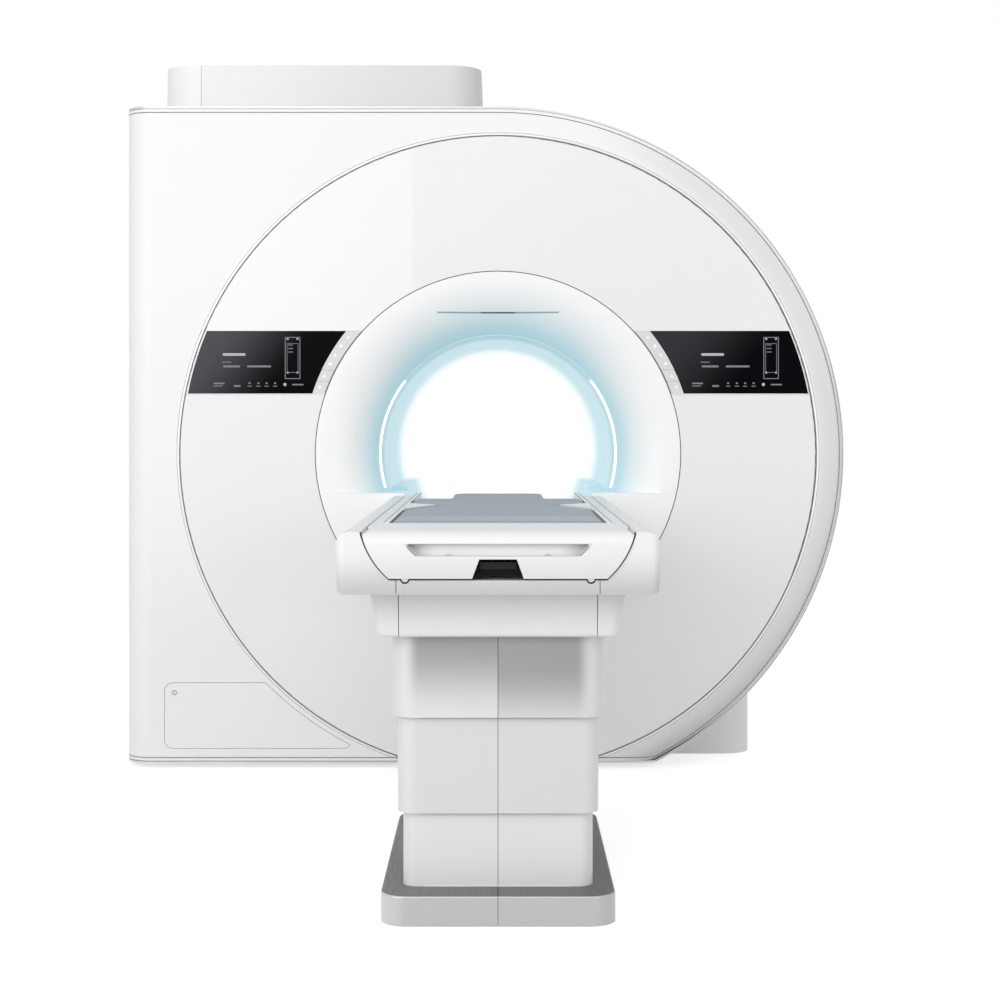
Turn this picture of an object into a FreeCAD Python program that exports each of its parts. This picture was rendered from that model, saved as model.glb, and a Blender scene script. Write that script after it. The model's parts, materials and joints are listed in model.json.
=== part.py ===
import FreeCAD, Part
import math
import os
import Sketcher

# Wide-bore MRI scanner: a gantry whose front is a flat D-shaped cover with a round glossy
# disc, a trumpet-shaped bore mouth, two bedside displays, and a patient table on a
# telescoping column.  Millimetres.  +Z is up, +Y runs along the bore away from the table,
# and the origin lies on the floor straight below the middle of the bore.

doc = FreeCAD.newDocument("Scanner")
sheet = doc.addObject("Spreadsheet::Sheet", "Sizes")

DIMENSIONS = (
    # bore and magnet
    ("bore_radius", 375, "inside of the patient bore"),
    ("axis_drop", 98, "radius of the round side less the height of the bore axis"),
    ("bore_front", 776, "bore middle to the front plane of the disc"),
    ("bore_rear", 776, "bore middle to the rear end of the liner"),
    ("rear_flare", 200, "length of the rear bore mouth"),
    ("mouth_depth", 300, "length of the front bore mouth"),
    ("mouth_flare", 213, "bore mouth's outer edge beyond the bore"),
    ("mouth_round", 207, "rounding from the front plane into the bore"),
    ("rear_flare_width", 181, "rear mouth's outer edge beyond the bore"),
    ("rear_mouth_round", 175, "rounding of the rear mouth"),
    ("shell_wall", 6, "wall of the moulded covers"),
    ("seat_gap", 0.3, "clearance of a piece in its seat"),
    ("coil_wall", 14, "wall of the body coil former"),
    ("coil_reach", 480, "half length of the body coil"),
    ("gradient_wall", 64, "wall of the gradient coil"),
    ("gradient_set_back", 176, "gradient coil behind the front plane"),
    ("gradient_rear_gap", 76, "gradient coil ahead of the liner's rear end"),
    ("vessel_room", 61, "barrel cover to the magnet vessel"),
    ("vessel_set_back", 106, "vessel behind the front plane"),
    ("vessel_rear_gap", 6, "vessel ahead of the liner's rear end"),
    ("vessel_round", 40, "rounded rims of the vessel"),
    ("foot_half_width", 620, "half width of the magnet base"),
    ("foot_half_length", 460, "half length of the magnet base"),
    ("foot_plate", 20, "thickness of the magnet base plate"),
    ("saddle_middle", 330, "bore middle to the middle of each saddle"),
    ("saddle_thick", 160, "thickness of each saddle"),
    ("saddle_top", 400, "top of the saddles above the floor"),
    ("anchor_hole", 18, "diameter of the floor anchor holes"),
    ("anchor_inset", 60, "anchor holes in from the plate edges"),
    # front cover
    ("contour_radius", 1112, "round side of the front cover"),
    ("left_reach", 93, "left side of the cover beyond the radius of its round side"),
    ("cover_bottom", 24, "cover above the floor"),
    ("cover_depth", 264, "depth of the front cover"),
    ("corner_round", 85, "plan rounding of the left edge"),
    ("edge_sweep", 50, "edge rounding at the foot of the arc"),
    ("trim_gap", 2.5, "dark groove beside the trims"),
    ("trim_width", 7, "bright width of the trims"),
    ("trim_set_back", 3, "outer trim behind the front plane"),
    ("trim_recess", 2, "disc trim and mouth seal behind the front plane"),
    ("trim_tilt", 2.4, "degrees that the outer trim leans back on the right"),
    ("disc_band", 86, "round side of the cover to the glossy disc"),
    ("disc_rim", 30, "depth of the disc's rim"),
    ("disc_edge", 4, "rounded edge of the disc"),
    ("seal_width", 3, "seal between the mouth and the disc"),
    ("display_low", 194.7, "bore axis up to the lower edge of the displays"),
    ("display_high", 396.3, "bore axis up to the upper edge of the displays"),
    ("display_margin", 7, "displays inside the edge of the disc"),
    ("key_width", 38, "width of the key strips"),
    ("display_thick", 12, "thickness of a display"),
    ("key_margin", 1, "key strips outside the disc's inner edge"),
    ("touch_low", 270.5, "bore axis up to the line between touch strip and upper key"),
    ("keys_apart", 234.2, "bore axis up to the line between the two keys"),
    ("key_thick", 7.5, "thickness of a key"),
    ("key_gap", 0.4, "clearance round a key"),
    ("key_travel", 2, "travel of a key"),
    ("window_rise", 455, "bore axis up to the slit window"),
    ("window_thick", 5, "height of the slit window"),
    ("window_width", 394, "width of the slit window"),
    ("light_step", 14, "light arcs outside the bore"),
    ("light_thick", 5, "half thickness of a light arc"),
    ("light_depth", 134, "light arcs behind the front plane"),
    ("light_top", 38, "degrees above level where an arc ends"),
    ("light_sweep", 55, "degrees that an arc covers"),
    ("shelf_drop", 127.5, "bore axis down to the shelf at the foot of the mouth"),
    ("ledge_drop", 114, "bore axis down to the ledges beside the rail"),
    ("panel_inset", 130.5, "service panel in from the left side of the cover"),
    ("panel_width", 602, "width of the service panel"),
    ("panel_bottom", 65, "service panel above the floor"),
    ("panel_top", 275, "top of the service panel"),
    ("panel_round", 26, "corner rounding of the service panel"),
    ("panel_gap", 2, "joint round the service panel"),
    ("panel_lip", 8, "lip of the service panel behind the cover"),
    ("lock_radius", 8, "quarter-turn lock"),
    ("lock_inset", 31, "lock in from the panel's corner"),
    # covers behind the front
    ("barrel_step", 121, "barrel inside the round side of the front cover"),
    ("barrel_foot", 330, "lower edge of the barrel cover"),
    ("bulkhead", 6, "plate that closes the back of the front cover"),
    ("rear_crown", 26, "rear cover stands this far behind the barrel"),
    ("cabinet_step", 37, "cabinet inside the left side of the front cover"),
    ("cabinet_right", 45, "bore axis to the inner side of the cabinet"),
    ("cabinet_drop", 21, "top of the cabinet under the top of the front cover"),
    ("cabinet_short", 136, "rear of the cabinet ahead of the liner's rear end"),
    ("cabinet_round", 60, "rounding of the cabinet's edges"),
    ("skirt_step", 139, "lower housing inside the side of the barrel"),
    ("skirt_inner", 200, "bore axis to the inner end of the lower housing"),
    ("skirt_reach", 124, "lower housing behind the liner's rear end"),
    ("skirt_height", 520, "height of the lower housing"),
    ("skirt_round", 95, "plan rounding of the lower housing"),
    ("cap_step", 69, "top cap inside the left side of the front cover"),
    ("cap_right", 51, "bore axis to the right end of the top cap"),
    ("cap_end_length", 136, "end piece of the top cap"),
    ("cap_rise", 193, "top cap over the top of the front cover"),
    ("cap_length", 900, "length of the cap along the bore"),
    ("cap_round", 120, "plan rounding of the cap"),
    ("cap_taper", 1.5, "degrees that the cap's sides lean in"),
    ("turret_step", 552, "round side of the cover to the middle of the service turret"),
    ("turret_side", 300, "side of the service turret"),
    ("turret_drop", 35, "service turret under the top of the cabinet"),
    ("cold_head_radius", 62, "cold head cylinder"),
    ("head_room", 39, "cold head under the top of the cap"),
    # table
    ("table_front", 2781, "bore middle to the front of the table"),
    ("dock_gap", 0.8, "docked table to the front plane of the gantry"),
    ("nose_length", 207, "length of the handle end"),
    ("nose_round", 30, "rounding of the handle end"),
    ("crown_round", 80, "rounding beside the raised middle of the handle end"),
    ("cradle_half_top", 296, "half width of the cradle at its shoulders"),
    ("cradle_half_bottom", 237, "half width of the cradle's bottom"),
    ("knee_half", 279, "half width of the cradle at the knee of its hull"),
    ("knee_rise", 40, "cradle's bottom up to the knee"),
    ("knee_round", 190, "rounding of the knee"),
    ("cradle_drop", 236, "bore axis down to the cradle's bottom"),
    ("shoulder_rise", 95.5, "cradle's bottom up to its shoulders"),
    ("cradle_height", 101, "cradle's bottom up to its top strips"),
    ("cradle_wall", 12, "wall of the cradle"),
    ("rail_rise", 111, "cradle's bottom up to the top of the rails"),
    ("rail_inner", 247, "inner half width of the rails"),
    ("rail_outer", 259, "outer half width of the rails"),
    ("rail_groove", 4, "groove outside the rails"),
    ("groove_depth", 7, "depth of that groove"),
    ("bed_rise", 90, "cradle's bottom up to the floor under the mattress"),
    ("mattress_half", 243.5, "half width of the mattress"),
    ("mattress_thick", 25, "thickness of the mattress"),
    ("mattress_length", 1296, "length of the wide mattress"),
    ("head_half", 141, "half width of the head strip"),
    ("head_length", 366, "length of the head strip"),
    ("handle_half_top", 206.5, "half width of the handle recess, top"),
    ("handle_half_bottom", 179.5, "half width of the handle recess, bottom"),
    ("handle_half_back", 173, "half width of the handle recess at its back"),
    ("handle_high", 75.5, "cradle's bottom up to the top of the handle recess"),
    ("handle_low", 49, "cradle's bottom up to the bottom of the handle recess"),
    ("handle_depth", 46, "depth of the handle recess"),
    ("handle_round", 6, "rounded corners of the handle recess"),
    ("grip_half_top", 40.7, "half width of the release recess, top"),
    ("grip_half_bottom", 56.6, "half width of the release recess, bottom"),
    ("grip_rise", 42, "cradle's bottom up to the top of the release recess"),
    ("grip_depth", 70, "depth of the release recess"),
    ("guide_across", 202, "guide beads from the middle"),
    ("guide_radius", 7.6, "guide beads under the cradle"),
    ("guide_gap", 2.4, "groove round a guide bead"),
    ("tray_gap", 4, "cradle to the tray round it"),
    ("tray_half", 356, "half width of the tray covers"),
    ("tray_lean", 6, "sides of the tray covers lean in by this at their foot"),
    ("tray_drop", 35, "cradle's bottom down to the bottom of the tray covers"),
    ("tray_shoulder_round", 32, "upper rounding of the tray covers"),
    ("tray_bottom_round", 14, "lower rounding of the tray covers"),
    ("tray_front_gap", 6, "tray behind the front of the cradle"),
    ("tray_front_round", 24, "plan rounding of the tray's front"),
    ("tray_seam_half", 221.5, "half width of the middle tray cover"),
    ("tray_seam", 1.6, "joint between the tray covers"),
    ("box_half", 289, "half width of the box under the tray"),
    ("box_set_back", 102, "front of that box behind the front of the table"),
    ("box_length", 886, "length of the box"),
    ("box_height", 106, "height of the box"),
    ("box_taper", 10.4, "degrees that its sides lean in"),
    ("box_round", 40, "plan rounding of the box"),
    ("box_edge", 12, "rounded lower edge of the box"),
    ("column_set_back", 545, "front of the table to the middle of the column"),
    ("column_width", 483, "width of the upper column cover"),
    ("column_length", 784, "length of the upper column cover"),
    ("column_round", 60, "plan rounding of the upper column cover"),
    ("sleeve_wall", 12.4, "wall of the column covers"),
    ("sleeve_gap", 0.6, "clearance between column covers"),
    ("sleeve_seam", 1.2, "centre seam of the column covers"),
    ("upper_foot", 453, "lower edge of the upper column cover"),
    ("middle_foot", 235, "lower edge of the middle column cover"),
    ("middle_head", 530, "top of the middle column cover"),
    ("lower_head", 365, "top of the lower column cover"),
    ("base_width", 527, "width of the table base"),
    ("base_length", 912, "length of the table base"),
    ("base_reach", 456, "middle of the column to the front of the base"),
    ("base_height", 68, "height of the table base"),
    ("base_plate", 14, "thickness of the base plate"),
    ("base_inset", 8, "base plate inside the base cover"),
    ("base_round", 60, "plan rounding of the base"),
    ("base_edge", 5, "rounded upper edge of the base"),
    ("tube_width", 240, "width of the outer lift tube"),
    ("tube_length", 360, "length of the outer lift tube"),
    ("tube_wall", 8, "wall of the lift tubes"),
    ("tube_round", 30, "plan rounding of the outer lift tube"),
    ("tube_gap", 0.6, "clearance between lift tubes"),
    ("lower_tube_head", 365, "top of the lower lift tube"),
    ("middle_tube_foot", 190, "foot of the middle lift tube"),
    ("middle_tube_head", 530, "top of the middle lift tube"),
    ("upper_tube_foot", 352, "foot of the upper lift tube"),
    ("frame_thick", 30, "thickness of the steel frame"),
    ("frame_half", 190, "half width of the steel frame"),
    ("frame_half_length", 350, "half length of the steel frame"),
    ("ceiling", 4, "cover above the steel frame"),
    ("glide_half", 20, "half width of a glide strip"),
    ("glide_across", 150, "glide strips from the middle"),
    ("lid_start", 788, "front of the table to the front corner of the socket lids"),
    ("lid_tip_start", 1015, "front of the table to the inner tip of the socket lids"),
    ("lid_end", 1114, "front of the table to the rear corner of the socket lids"),
    ("lid_reach", 82, "rail to the tip of a socket lid"),
    ("lid_thick", 5, "thickness of a socket lid"),
    ("lid_tip_round", 10, "rounded tip of a socket lid"),
    ("well_length", 120, "well under a socket lid, along the table"),
    ("well_width", 32, "well under a socket lid, across the table"),
    ("mattress_gap", 2.5, "room round a socket lid in the mattress"),
    ("mattress_round", 12, "plan rounding of the mattress"),
)

# how far a cutting shape reaches past what it cuts
OVER = 1


class Size:
    """A size: its value, and the sheet expression that gives it."""

    def __init__(self, value, text):
        self.value = float(value)
        self.text = text

    def joined(self, other, sign, value):
        return Size(value, f"({self.text} {sign} {size(other).text})")

    def __add__(self, other):
        return self.joined(other, "+", self.value + size(other).value)

    def __sub__(self, other):
        return self.joined(other, "-", self.value - size(other).value)

    def __mul__(self, other):
        return self.joined(other, "*", self.value * size(other).value)

    def __truediv__(self, other):
        return self.joined(other, "/", self.value / size(other).value)

    def __neg__(self):
        return Size(-self.value, f"(0 - {self.text})")


def size(number):
    """A plain number as a size."""
    if isinstance(number, Size):
        return number
    return Size(number, repr(float(number)))


class Sheet:
    """The driving dimensions by name."""


s = Sheet()
for row, (alias, value, note) in enumerate(DIMENSIONS, start=1):
    sheet.set(f"A{row}", alias)
    sheet.set(f"B{row}", str(value))
    sheet.set(f"C{row}", note)
    sheet.setAlias(f"B{row}", alias)
    setattr(s, alias, Size(value, f"Sizes.{alias}"))
doc.recompute()

# sizes that follow from others
s.bore_height = s.contour_radius - s.axis_drop
s.cover_left = s.contour_radius + s.left_reach
s.disc_radius = s.contour_radius - s.disc_band
s.barrel_radius = s.contour_radius - s.barrel_step
s.vessel_outer = s.barrel_radius - s.vessel_room
s.turret_left = s.contour_radius - s.turret_step
s.mouth_radius = s.bore_radius + s.mouth_flare
s.rear_mouth_radius = s.bore_radius + s.rear_flare_width
s.light_radius = s.bore_radius + s.light_step
s.disc_hole = s.mouth_radius + s.seal_width
s.key_inner = s.disc_hole + s.key_margin
s.display_inner = s.key_inner + s.key_width
s.display_outer = s.disc_radius - s.display_margin
s.display_bottom = s.bore_height + s.display_low
s.display_top = s.bore_height + s.display_high
s.key_split = s.bore_height + s.touch_low
s.key_middle = s.bore_height + s.keys_apart
s.window_height = s.bore_height + s.window_rise
s.shelf_height = s.bore_height - s.shelf_drop
s.ledge_height = s.bore_height - s.ledge_drop
s.panel_left = s.cover_left - s.panel_inset
s.vessel_front = s.bore_front - s.vessel_set_back
s.vessel_rear = s.bore_rear - s.vessel_rear_gap
s.gradient_front = s.bore_front - s.gradient_set_back
s.gradient_rear = s.bore_rear - s.gradient_rear_gap
s.cabinet_left = s.cover_left - s.cabinet_step
s.cabinet_rear = s.bore_rear - s.cabinet_short
s.skirt_right = s.barrel_radius - s.skirt_step
s.skirt_rear = s.bore_rear + s.skirt_reach
s.cap_left = s.cover_left - s.cap_step
s.cap_seam = s.cap_left - s.cap_end_length
s.cradle_bottom = s.bore_height - s.cradle_drop
s.cradle_shoulder = s.cradle_bottom + s.shoulder_rise
s.cradle_top = s.cradle_bottom + s.cradle_height
s.rail_top = s.cradle_bottom + s.rail_rise
s.bed_floor = s.cradle_bottom + s.bed_rise
s.mattress_top = s.bed_floor + s.mattress_thick
s.handle_top = s.cradle_bottom + s.handle_high
s.handle_bottom = s.cradle_bottom + s.handle_low
s.grip_top = s.cradle_bottom + s.grip_rise
s.tray_bottom = s.cradle_bottom - s.tray_drop
s.column_middle = s.table_front - s.column_set_back
s.base_front = s.column_middle + s.base_reach
s.lid_front = s.table_front - s.lid_start
s.lid_tip = s.table_front - s.lid_tip_start
s.lid_rear = s.table_front - s.lid_end

# worked-out places that several pieces share
front_y = -s.bore_front
back_y = front_y + s.cover_depth
barrel_start = back_y + s.bulkhead
barrel_end = s.bore_rear + s.rear_flare - s.rear_crown
mouth_end = front_y + s.mouth_depth
cover_top = s.bore_height + s.contour_radius
cabinet_top = cover_top - s.cabinet_drop
cap_top = cover_top + s.cap_rise
turret_top = cabinet_top - s.turret_drop
hole_radius = s.disc_radius + s.trim_gap + s.trim_width + s.seat_gap * 4
tray_floor = s.cradle_bottom - s.tray_gap
tray_rear = front_y - s.dock_gap
nose_rear = -s.table_front + s.nose_length
frame_top = s.tray_bottom - s.ceiling
knee_height = s.cradle_bottom + s.knee_rise
foot_slope = (s.knee_half - s.cradle_half_bottom) / s.knee_rise
head_slope = (s.cradle_half_top - s.knee_half) / (s.cradle_shoulder - knee_height)

parts = {}


# ---------------------------------------------------------------- helpers


def bind(thing, path, amount):
    """Ties one property to the sheet."""
    amount = size(amount)
    thing.setExpression(path, amount.text)


def place(thing, x=0, y=0, z=0):
    """Moves a feature to a bound position."""
    thing.Placement.Base = FreeCAD.Vector(size(x).value, size(y).value, size(z).value)
    for path, amount in (("x", x), ("y", y), ("z", z)):
        bind(thing, f"Placement.Base.{path}", amount)
    return thing


def box(name, low, high):
    """A block between two bound corners."""
    block = doc.addObject("Part::Box", name)
    for prop, a, b in zip(("Length", "Width", "Height"), low, high):
        span = size(b) - a
        setattr(block, prop, span.value)
        bind(block, prop, span)
    return place(block, *low)


def cylinder(name, radius, length, x=0, y=0, z=0, axis="Z"):
    """A bound cylinder along one axis."""
    rod = doc.addObject("Part::Cylinder", name)
    rod.Radius = size(radius).value
    rod.Height = size(length).value
    bind(rod, "Radius", radius)
    bind(rod, "Height", length)
    turns = {
        "X": FreeCAD.Rotation(FreeCAD.Vector(0, 1, 0), 90),
        "Y": FreeCAD.Rotation(FreeCAD.Vector(1, 0, 0), -90),
        "Z": FreeCAD.Rotation(),
    }
    rod.Placement.Rotation = turns[axis]
    return place(rod, x, y, z)


def bore_cylinder(name, radius, start, end):
    """A cylinder about the bore axis from one Y to another."""
    return cylinder(name, radius, size(end) - start, 0, start, s.bore_height, "Y")


def joined(kind, name, one, two):
    result = doc.addObject(kind, name)
    result.Base = one
    result.Tool = two
    return result


def cut(name, one, *tools):
    """What is left of one after every tool."""
    for tool in tools:
        one = joined("Part::Cut", name, one, tool)
        one.Refine = True
    return one


def common(name, one, *others):
    for other in others:
        one = joined("Part::Common", name, one, other)
    return one


def fuse(name, *shapes):
    result = doc.addObject("Part::MultiFuse", name)
    result.Shapes = list(shapes)
    result.Refine = True
    return result


def origin_plane(body, role):
    return next(f for f in body.Origin.OriginFeatures if f.Role == role)


def fix_point(sketch, geometry, point, x, y):
    """Binds a sketch point's two coordinates."""
    for kind, amount in (("DistanceX", size(x)), ("DistanceY", size(y))):
        index = sketch.addConstraint(Sketcher.Constraint(kind, geometry, point, amount.value))
        sketch.setExpression(f"Constraints[{index}]", amount.text)


def fix_radius(sketch, geometry, radius):
    radius = size(radius)
    index = sketch.addConstraint(Sketcher.Constraint("Radius", geometry, radius.value))
    sketch.setExpression(f"Constraints[{index}]", radius.text)


def corner_points(before, corner, after, radius):
    """Where a rounded corner leaves its two sides, and the middle of its arc."""
    to_before = (before - corner).normalize()
    to_after = (after - corner).normalize()
    half = to_before.getAngle(to_after) / 2
    reach = radius / math.tan(half)
    middle = (to_before + to_after).normalize() * (radius / math.sin(half))
    return corner + to_before * reach, corner + to_after * reach, corner + middle


def add_outline(sketch, corners):
    """A closed outline through corners (x, y) or (x, y, rounding)."""
    points = [FreeCAD.Vector(size(c[0]).value, size(c[1]).value, 0) for c in corners]
    count = len(points)
    starts, ends, centres = [], [], []
    for i, corner in enumerate(corners):
        if len(corner) == 3:
            radius = size(corner[2]).value
            entry, leave, centre = corner_points(
                points[i - 1], points[i], points[(i + 1) % count], radius
            )
        else:
            entry, leave, centre = points[i], points[i], None
        ends.append(entry)
        starts.append(leave)
        centres.append(centre)
    sides = []
    for i in range(count):
        side = Part.LineSegment(starts[i], ends[(i + 1) % count])
        sides.append(sketch.addGeometry(side, False))
    for i, corner in enumerate(corners):
        before, after = sides[i - 1], sides[i]
        if len(corner) == 2:
            sketch.addConstraint(Sketcher.Constraint("Coincident", before, 2, after, 1))
            fix_point(sketch, after, 1, corner[0], corner[1])
            continue
        centre = centres[i]
        bulge = centre + (points[i] - centre).normalize() * size(corner[2]).value
        arc = sketch.addGeometry(Part.Arc(ends[i], bulge, starts[i]), False)
        turn = (ends[i] - centre).cross(starts[i] - centre).z
        first, last = (1, 2) if turn > 0 else (2, 1)
        mark = sketch.addGeometry(Part.Point(points[i]), True)
        sketch.addConstraint(Sketcher.Constraint("Tangent", before, 2, arc, first))
        sketch.addConstraint(Sketcher.Constraint("Tangent", after, 1, arc, last))
        sketch.addConstraint(Sketcher.Constraint("PointOnObject", mark, 1, before))
        sketch.addConstraint(Sketcher.Constraint("PointOnObject", mark, 1, after))
        fix_point(sketch, mark, 1, corner[0], corner[1])
        fix_radius(sketch, arc, corner[2])


def new_body(name, role, offset, outlines):
    """A body with one sketch of closed outlines on an origin plane."""
    body = doc.addObject("PartDesign::Body", name)
    sketch = body.newObject("Sketcher::SketchObject", name + "_sketch")
    sketch.AttachmentSupport = (origin_plane(body, role), [""])
    sketch.MapMode = "FlatFace"
    if offset is not None:
        sketch.AttachmentOffset.Base.z = size(offset).value
        bind(sketch, "AttachmentOffset.Base.z", offset)
    for corners in outlines:
        add_outline(sketch, corners)
    return body, sketch


def add_pad(name, body, sketch, length, back=False):
    """Extrudes a sketch along its normal, or back against it."""
    pad = body.newObject("PartDesign::Pad", name + "_pad")
    pad.Profile = sketch
    pad.Reversed = back
    pad.Length = length.value
    bind(pad, "Length", length)
    return pad


def extrusion_x(name, start, end, outline):
    """An outline in Y and Z, extruded along X from start to end."""
    body, sketch = new_body(name, "YZ_Plane", start, [outline])
    add_pad(name, body, sketch, size(end) - start)
    return body


def extrusion_y(name, start, end, *outlines):
    """Outlines in X and Z, extruded along Y from start to end."""
    body, sketch = new_body(name, "XZ_Plane", -size(start), outlines)
    add_pad(name, body, sketch, size(end) - start, back=True)
    return body


def extrusion_z(name, low, high, *outlines, lean=None, down=False):
    """Outlines in X and Y, extruded up from low, or down from high."""
    body, sketch = new_body(name, "XY_Plane", high if down else low, outlines)
    pad = add_pad(name, body, sketch, size(high) - low, back=down)
    if lean is not None:
        pad.TaperAngle = -size(lean).value
        bind(pad, "TaperAngle", -size(lean))
    return body


def turned(name, corners, rise=0):
    """A profile of (Y, radius) corners turned about the bore axis, or about a line over it."""
    body, sketch = new_body(name, "YZ_Plane", None, [corners])
    turn = body.newObject("PartDesign::Revolution", name + "_turn")
    turn.Profile = sketch
    turn.ReferenceAxis = (sketch, ["H_Axis"])
    turn.Angle = 360
    return place(body, 0, 0, s.bore_height + rise)


def rounded_plan(x_low, x_high, y_low, y_high, radius):
    """Four rounded corners of a plan outline."""
    return [
        (x_low, y_low, radius),
        (x_high, y_low, radius),
        (x_high, y_high, radius),
        (x_low, y_high, radius),
    ]


def flipped(corners):
    """The same corners on the other side of the middle."""
    return [(-corner[0], *corner[1:]) for corner in corners]


def both_sides(right):
    """A closed outline from its right half, given from bottom to top."""
    return right + flipped(right)[::-1]


def rounded_edges(name, blank, level, radius):
    """Rounds the edges of a blank that lie at one level."""
    doc.recompute()
    height, radius = size(level).value, size(radius).value
    rounded = doc.addObject("Part::Fillet", name)
    rounded.Base = blank
    rounded.Edges = [
        (number, radius, radius)
        for number, edge in enumerate(blank.Shape.Edges, start=1)
        if all(abs(vertex.Point.z - height) < 0.01 for vertex in edge.Vertexes)
    ]
    return rounded


def keep(name, feature):
    """Names a finished piece."""
    feature.Label = name
    parts[name] = feature
    return feature


def mirrored(name, source):
    """The same piece on the other side of the bore axis."""
    twin = doc.addObject("Part::Mirroring", name)
    twin.Source = source
    twin.Normal = (1, 0, 0)
    return twin


def keep_pair(name, left):
    """Keeps a left piece and its mirror image."""
    keep(name + "_left", left)
    keep(name + "_right", mirrored(name + "_right", left))


# ---------------------------------------------------------------- magnet and bore


def magnet_base():
    """Steel base: a plate with two saddles that hold the vessel."""
    plate = box(
        "base_plate_block",
        (-s.foot_half_width, -s.foot_half_length, 0),
        (s.foot_half_width, s.foot_half_length, s.foot_plate),
    )
    saddles = []
    for index, side in enumerate((-1, 1)):
        middle = s.saddle_middle * side
        saddles.append(
            box(
                f"saddle_block_{index}",
                (-s.foot_half_width, middle - s.saddle_thick / 2, 0),
                (s.foot_half_width, middle + s.saddle_thick / 2, s.saddle_top),
            )
        )
    body = fuse("base_blank", plate, *saddles)
    seat = bore_cylinder(
        "vessel_seat", s.vessel_outer + s.seat_gap, -s.bore_front, s.bore_rear
    )
    holes = []
    reach_x = s.foot_half_width - s.anchor_inset
    reach_y = s.foot_half_length - s.anchor_inset / 2
    for index, (a, b) in enumerate(((-1, -1), (1, -1), (1, 1), (-1, 1))):
        holes.append(
            cylinder(
                f"anchor_hole_{index}",
                s.anchor_hole / 2,
                s.foot_plate * 3,
                reach_x * a,
                reach_y * b,
                -s.foot_plate,
            )
        )
    keep("magnet_base", cut("magnet_base", body, seat, *holes))


def magnet_core():
    """Vessel, gradient coil, body coil and liner, one inside the other."""
    liner_outer = s.bore_radius + s.shell_wall
    coil_inner = liner_outer + s.seat_gap
    coil_outer = coil_inner + s.coil_wall
    gradient_inner = coil_outer + s.seat_gap
    gradient_outer = gradient_inner + s.gradient_wall
    inner = gradient_outer + s.seat_gap
    front, rear = -s.vessel_front, s.vessel_rear
    vessel = turned(
        "magnet_vessel",
        [
            (front, inner),
            (rear, inner),
            (rear, s.vessel_outer, s.vessel_round),
            (front, s.vessel_outer, s.vessel_round),
        ],
    )
    keep("magnet_vessel", vessel)
    for name, low, high, start, end in (
        ("gradient_coil", gradient_inner, gradient_outer, -s.gradient_front, s.gradient_rear),
        ("body_coil", coil_inner, coil_outer, -s.coil_reach, s.coil_reach),
        ("bore_liner", s.bore_radius, liner_outer, mouth_end, s.bore_rear),
    ):
        ring = turned(name, [(start, low), (end, low), (end, high), (start, high)])
        keep(name, ring)


def helium_turret():
    """Neck on the vessel, with the cold head standing on it."""
    low = s.bore_height
    half = s.turret_side / 2
    neck = box(
        "turret_block",
        (-s.turret_left - half, -half, low),
        (-s.turret_left + half, half, turret_top),
    )
    vessel_top = bore_cylinder(
        "turret_seat", s.vessel_outer + s.seat_gap, -s.bore_front, s.bore_rear
    )
    keep("helium_turret", cut("helium_turret", neck, vessel_top))
    head = cap_top - s.head_room - turret_top
    motor = cylinder(
        "cold_head_motor",
        s.cold_head_radius * 1.25,
        head / 2,
        -s.turret_left,
        0,
        turret_top + head / 2,
    )
    stage = cylinder(
        "cold_head_stage", s.cold_head_radius, head * 0.75, -s.turret_left, 0, turret_top
    )
    keep("cold_head", fuse("cold_head", stage, motor))


# ---------------------------------------------------------------- front covers


def d_block(name, inset, start, end):
    """D-shaped block: straight left side, round right side, flat foot."""
    foot = s.cover_bottom + inset
    left = -s.cover_left + inset
    panel = box(name + "_panel", (left, start, foot), (0, end, cover_top - inset))
    disc = bore_cylinder(name + "_disc", s.contour_radius - inset, start, end)
    below = box(
        name + "_below",
        (-s.cover_left * 2, start - 10, foot - s.cover_left),
        (s.cover_left * 2, size(end) + 10, foot),
    )
    return cut(name, fuse(name + "_blank", panel, disc), below)


def left_corner(name, inset, start, radius):
    """What a plan rounding takes off the left front edge."""
    left = -s.cover_left + inset
    high = cover_top + s.cover_bottom
    block = box(name + "_block", (left - OVER, start - OVER, -5), (left + radius, start + radius, high))
    post = cylinder(name + "_post", radius, high * 2, left + radius, start + radius, -high / 2)
    return cut(name, block, post)


def rounded_d_block(name, inset, start, end):
    """D-shaped block whose arc is sharp at its top and well rounded towards its foot."""
    sweep = s.edge_sweep - inset
    rise = s.edge_sweep / 2
    reach = s.contour_radius + rise - inset
    rounded_disc = turned(
        name + "_rounded", [(start, 0), (start, reach, sweep), (end, reach), (end, 0)], rise
    )
    left_side = box(
        name + "_side",
        (-s.cover_left * 2, start - OVER, 0),
        (0, size(end) + OVER, cover_top * 2),
    )
    kept = fuse(name + "_kept", rounded_disc, left_side)
    return common(name, d_block(name + "_d", inset, start, end), kept)


def front_body_cover():
    """Flat D-shaped cover with the round hole for the disc."""
    wall = s.shell_wall
    outer = cut(
        "cover_outer", rounded_d_block("cover", 0, front_y, back_y),
        left_corner("cover_corner", 0, front_y, s.corner_round),
    )
    inner_start = front_y + wall
    inner = cut(
        "cover_inner", rounded_d_block("cover_hollow", wall, inner_start, back_y + OVER),
        left_corner("hollow_corner", wall, inner_start, s.corner_round - wall),
    )
    hole = bore_cylinder("disc_hole", hole_radius, front_y - OVER, back_y)
    panel_hole = panel_plate("panel_hole", s.panel_gap, front_y - OVER, front_y + wall + OVER)
    cover = cut("front_body_cover", outer, inner, hole, panel_hole)
    keep("front_body_cover", cover)


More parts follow.
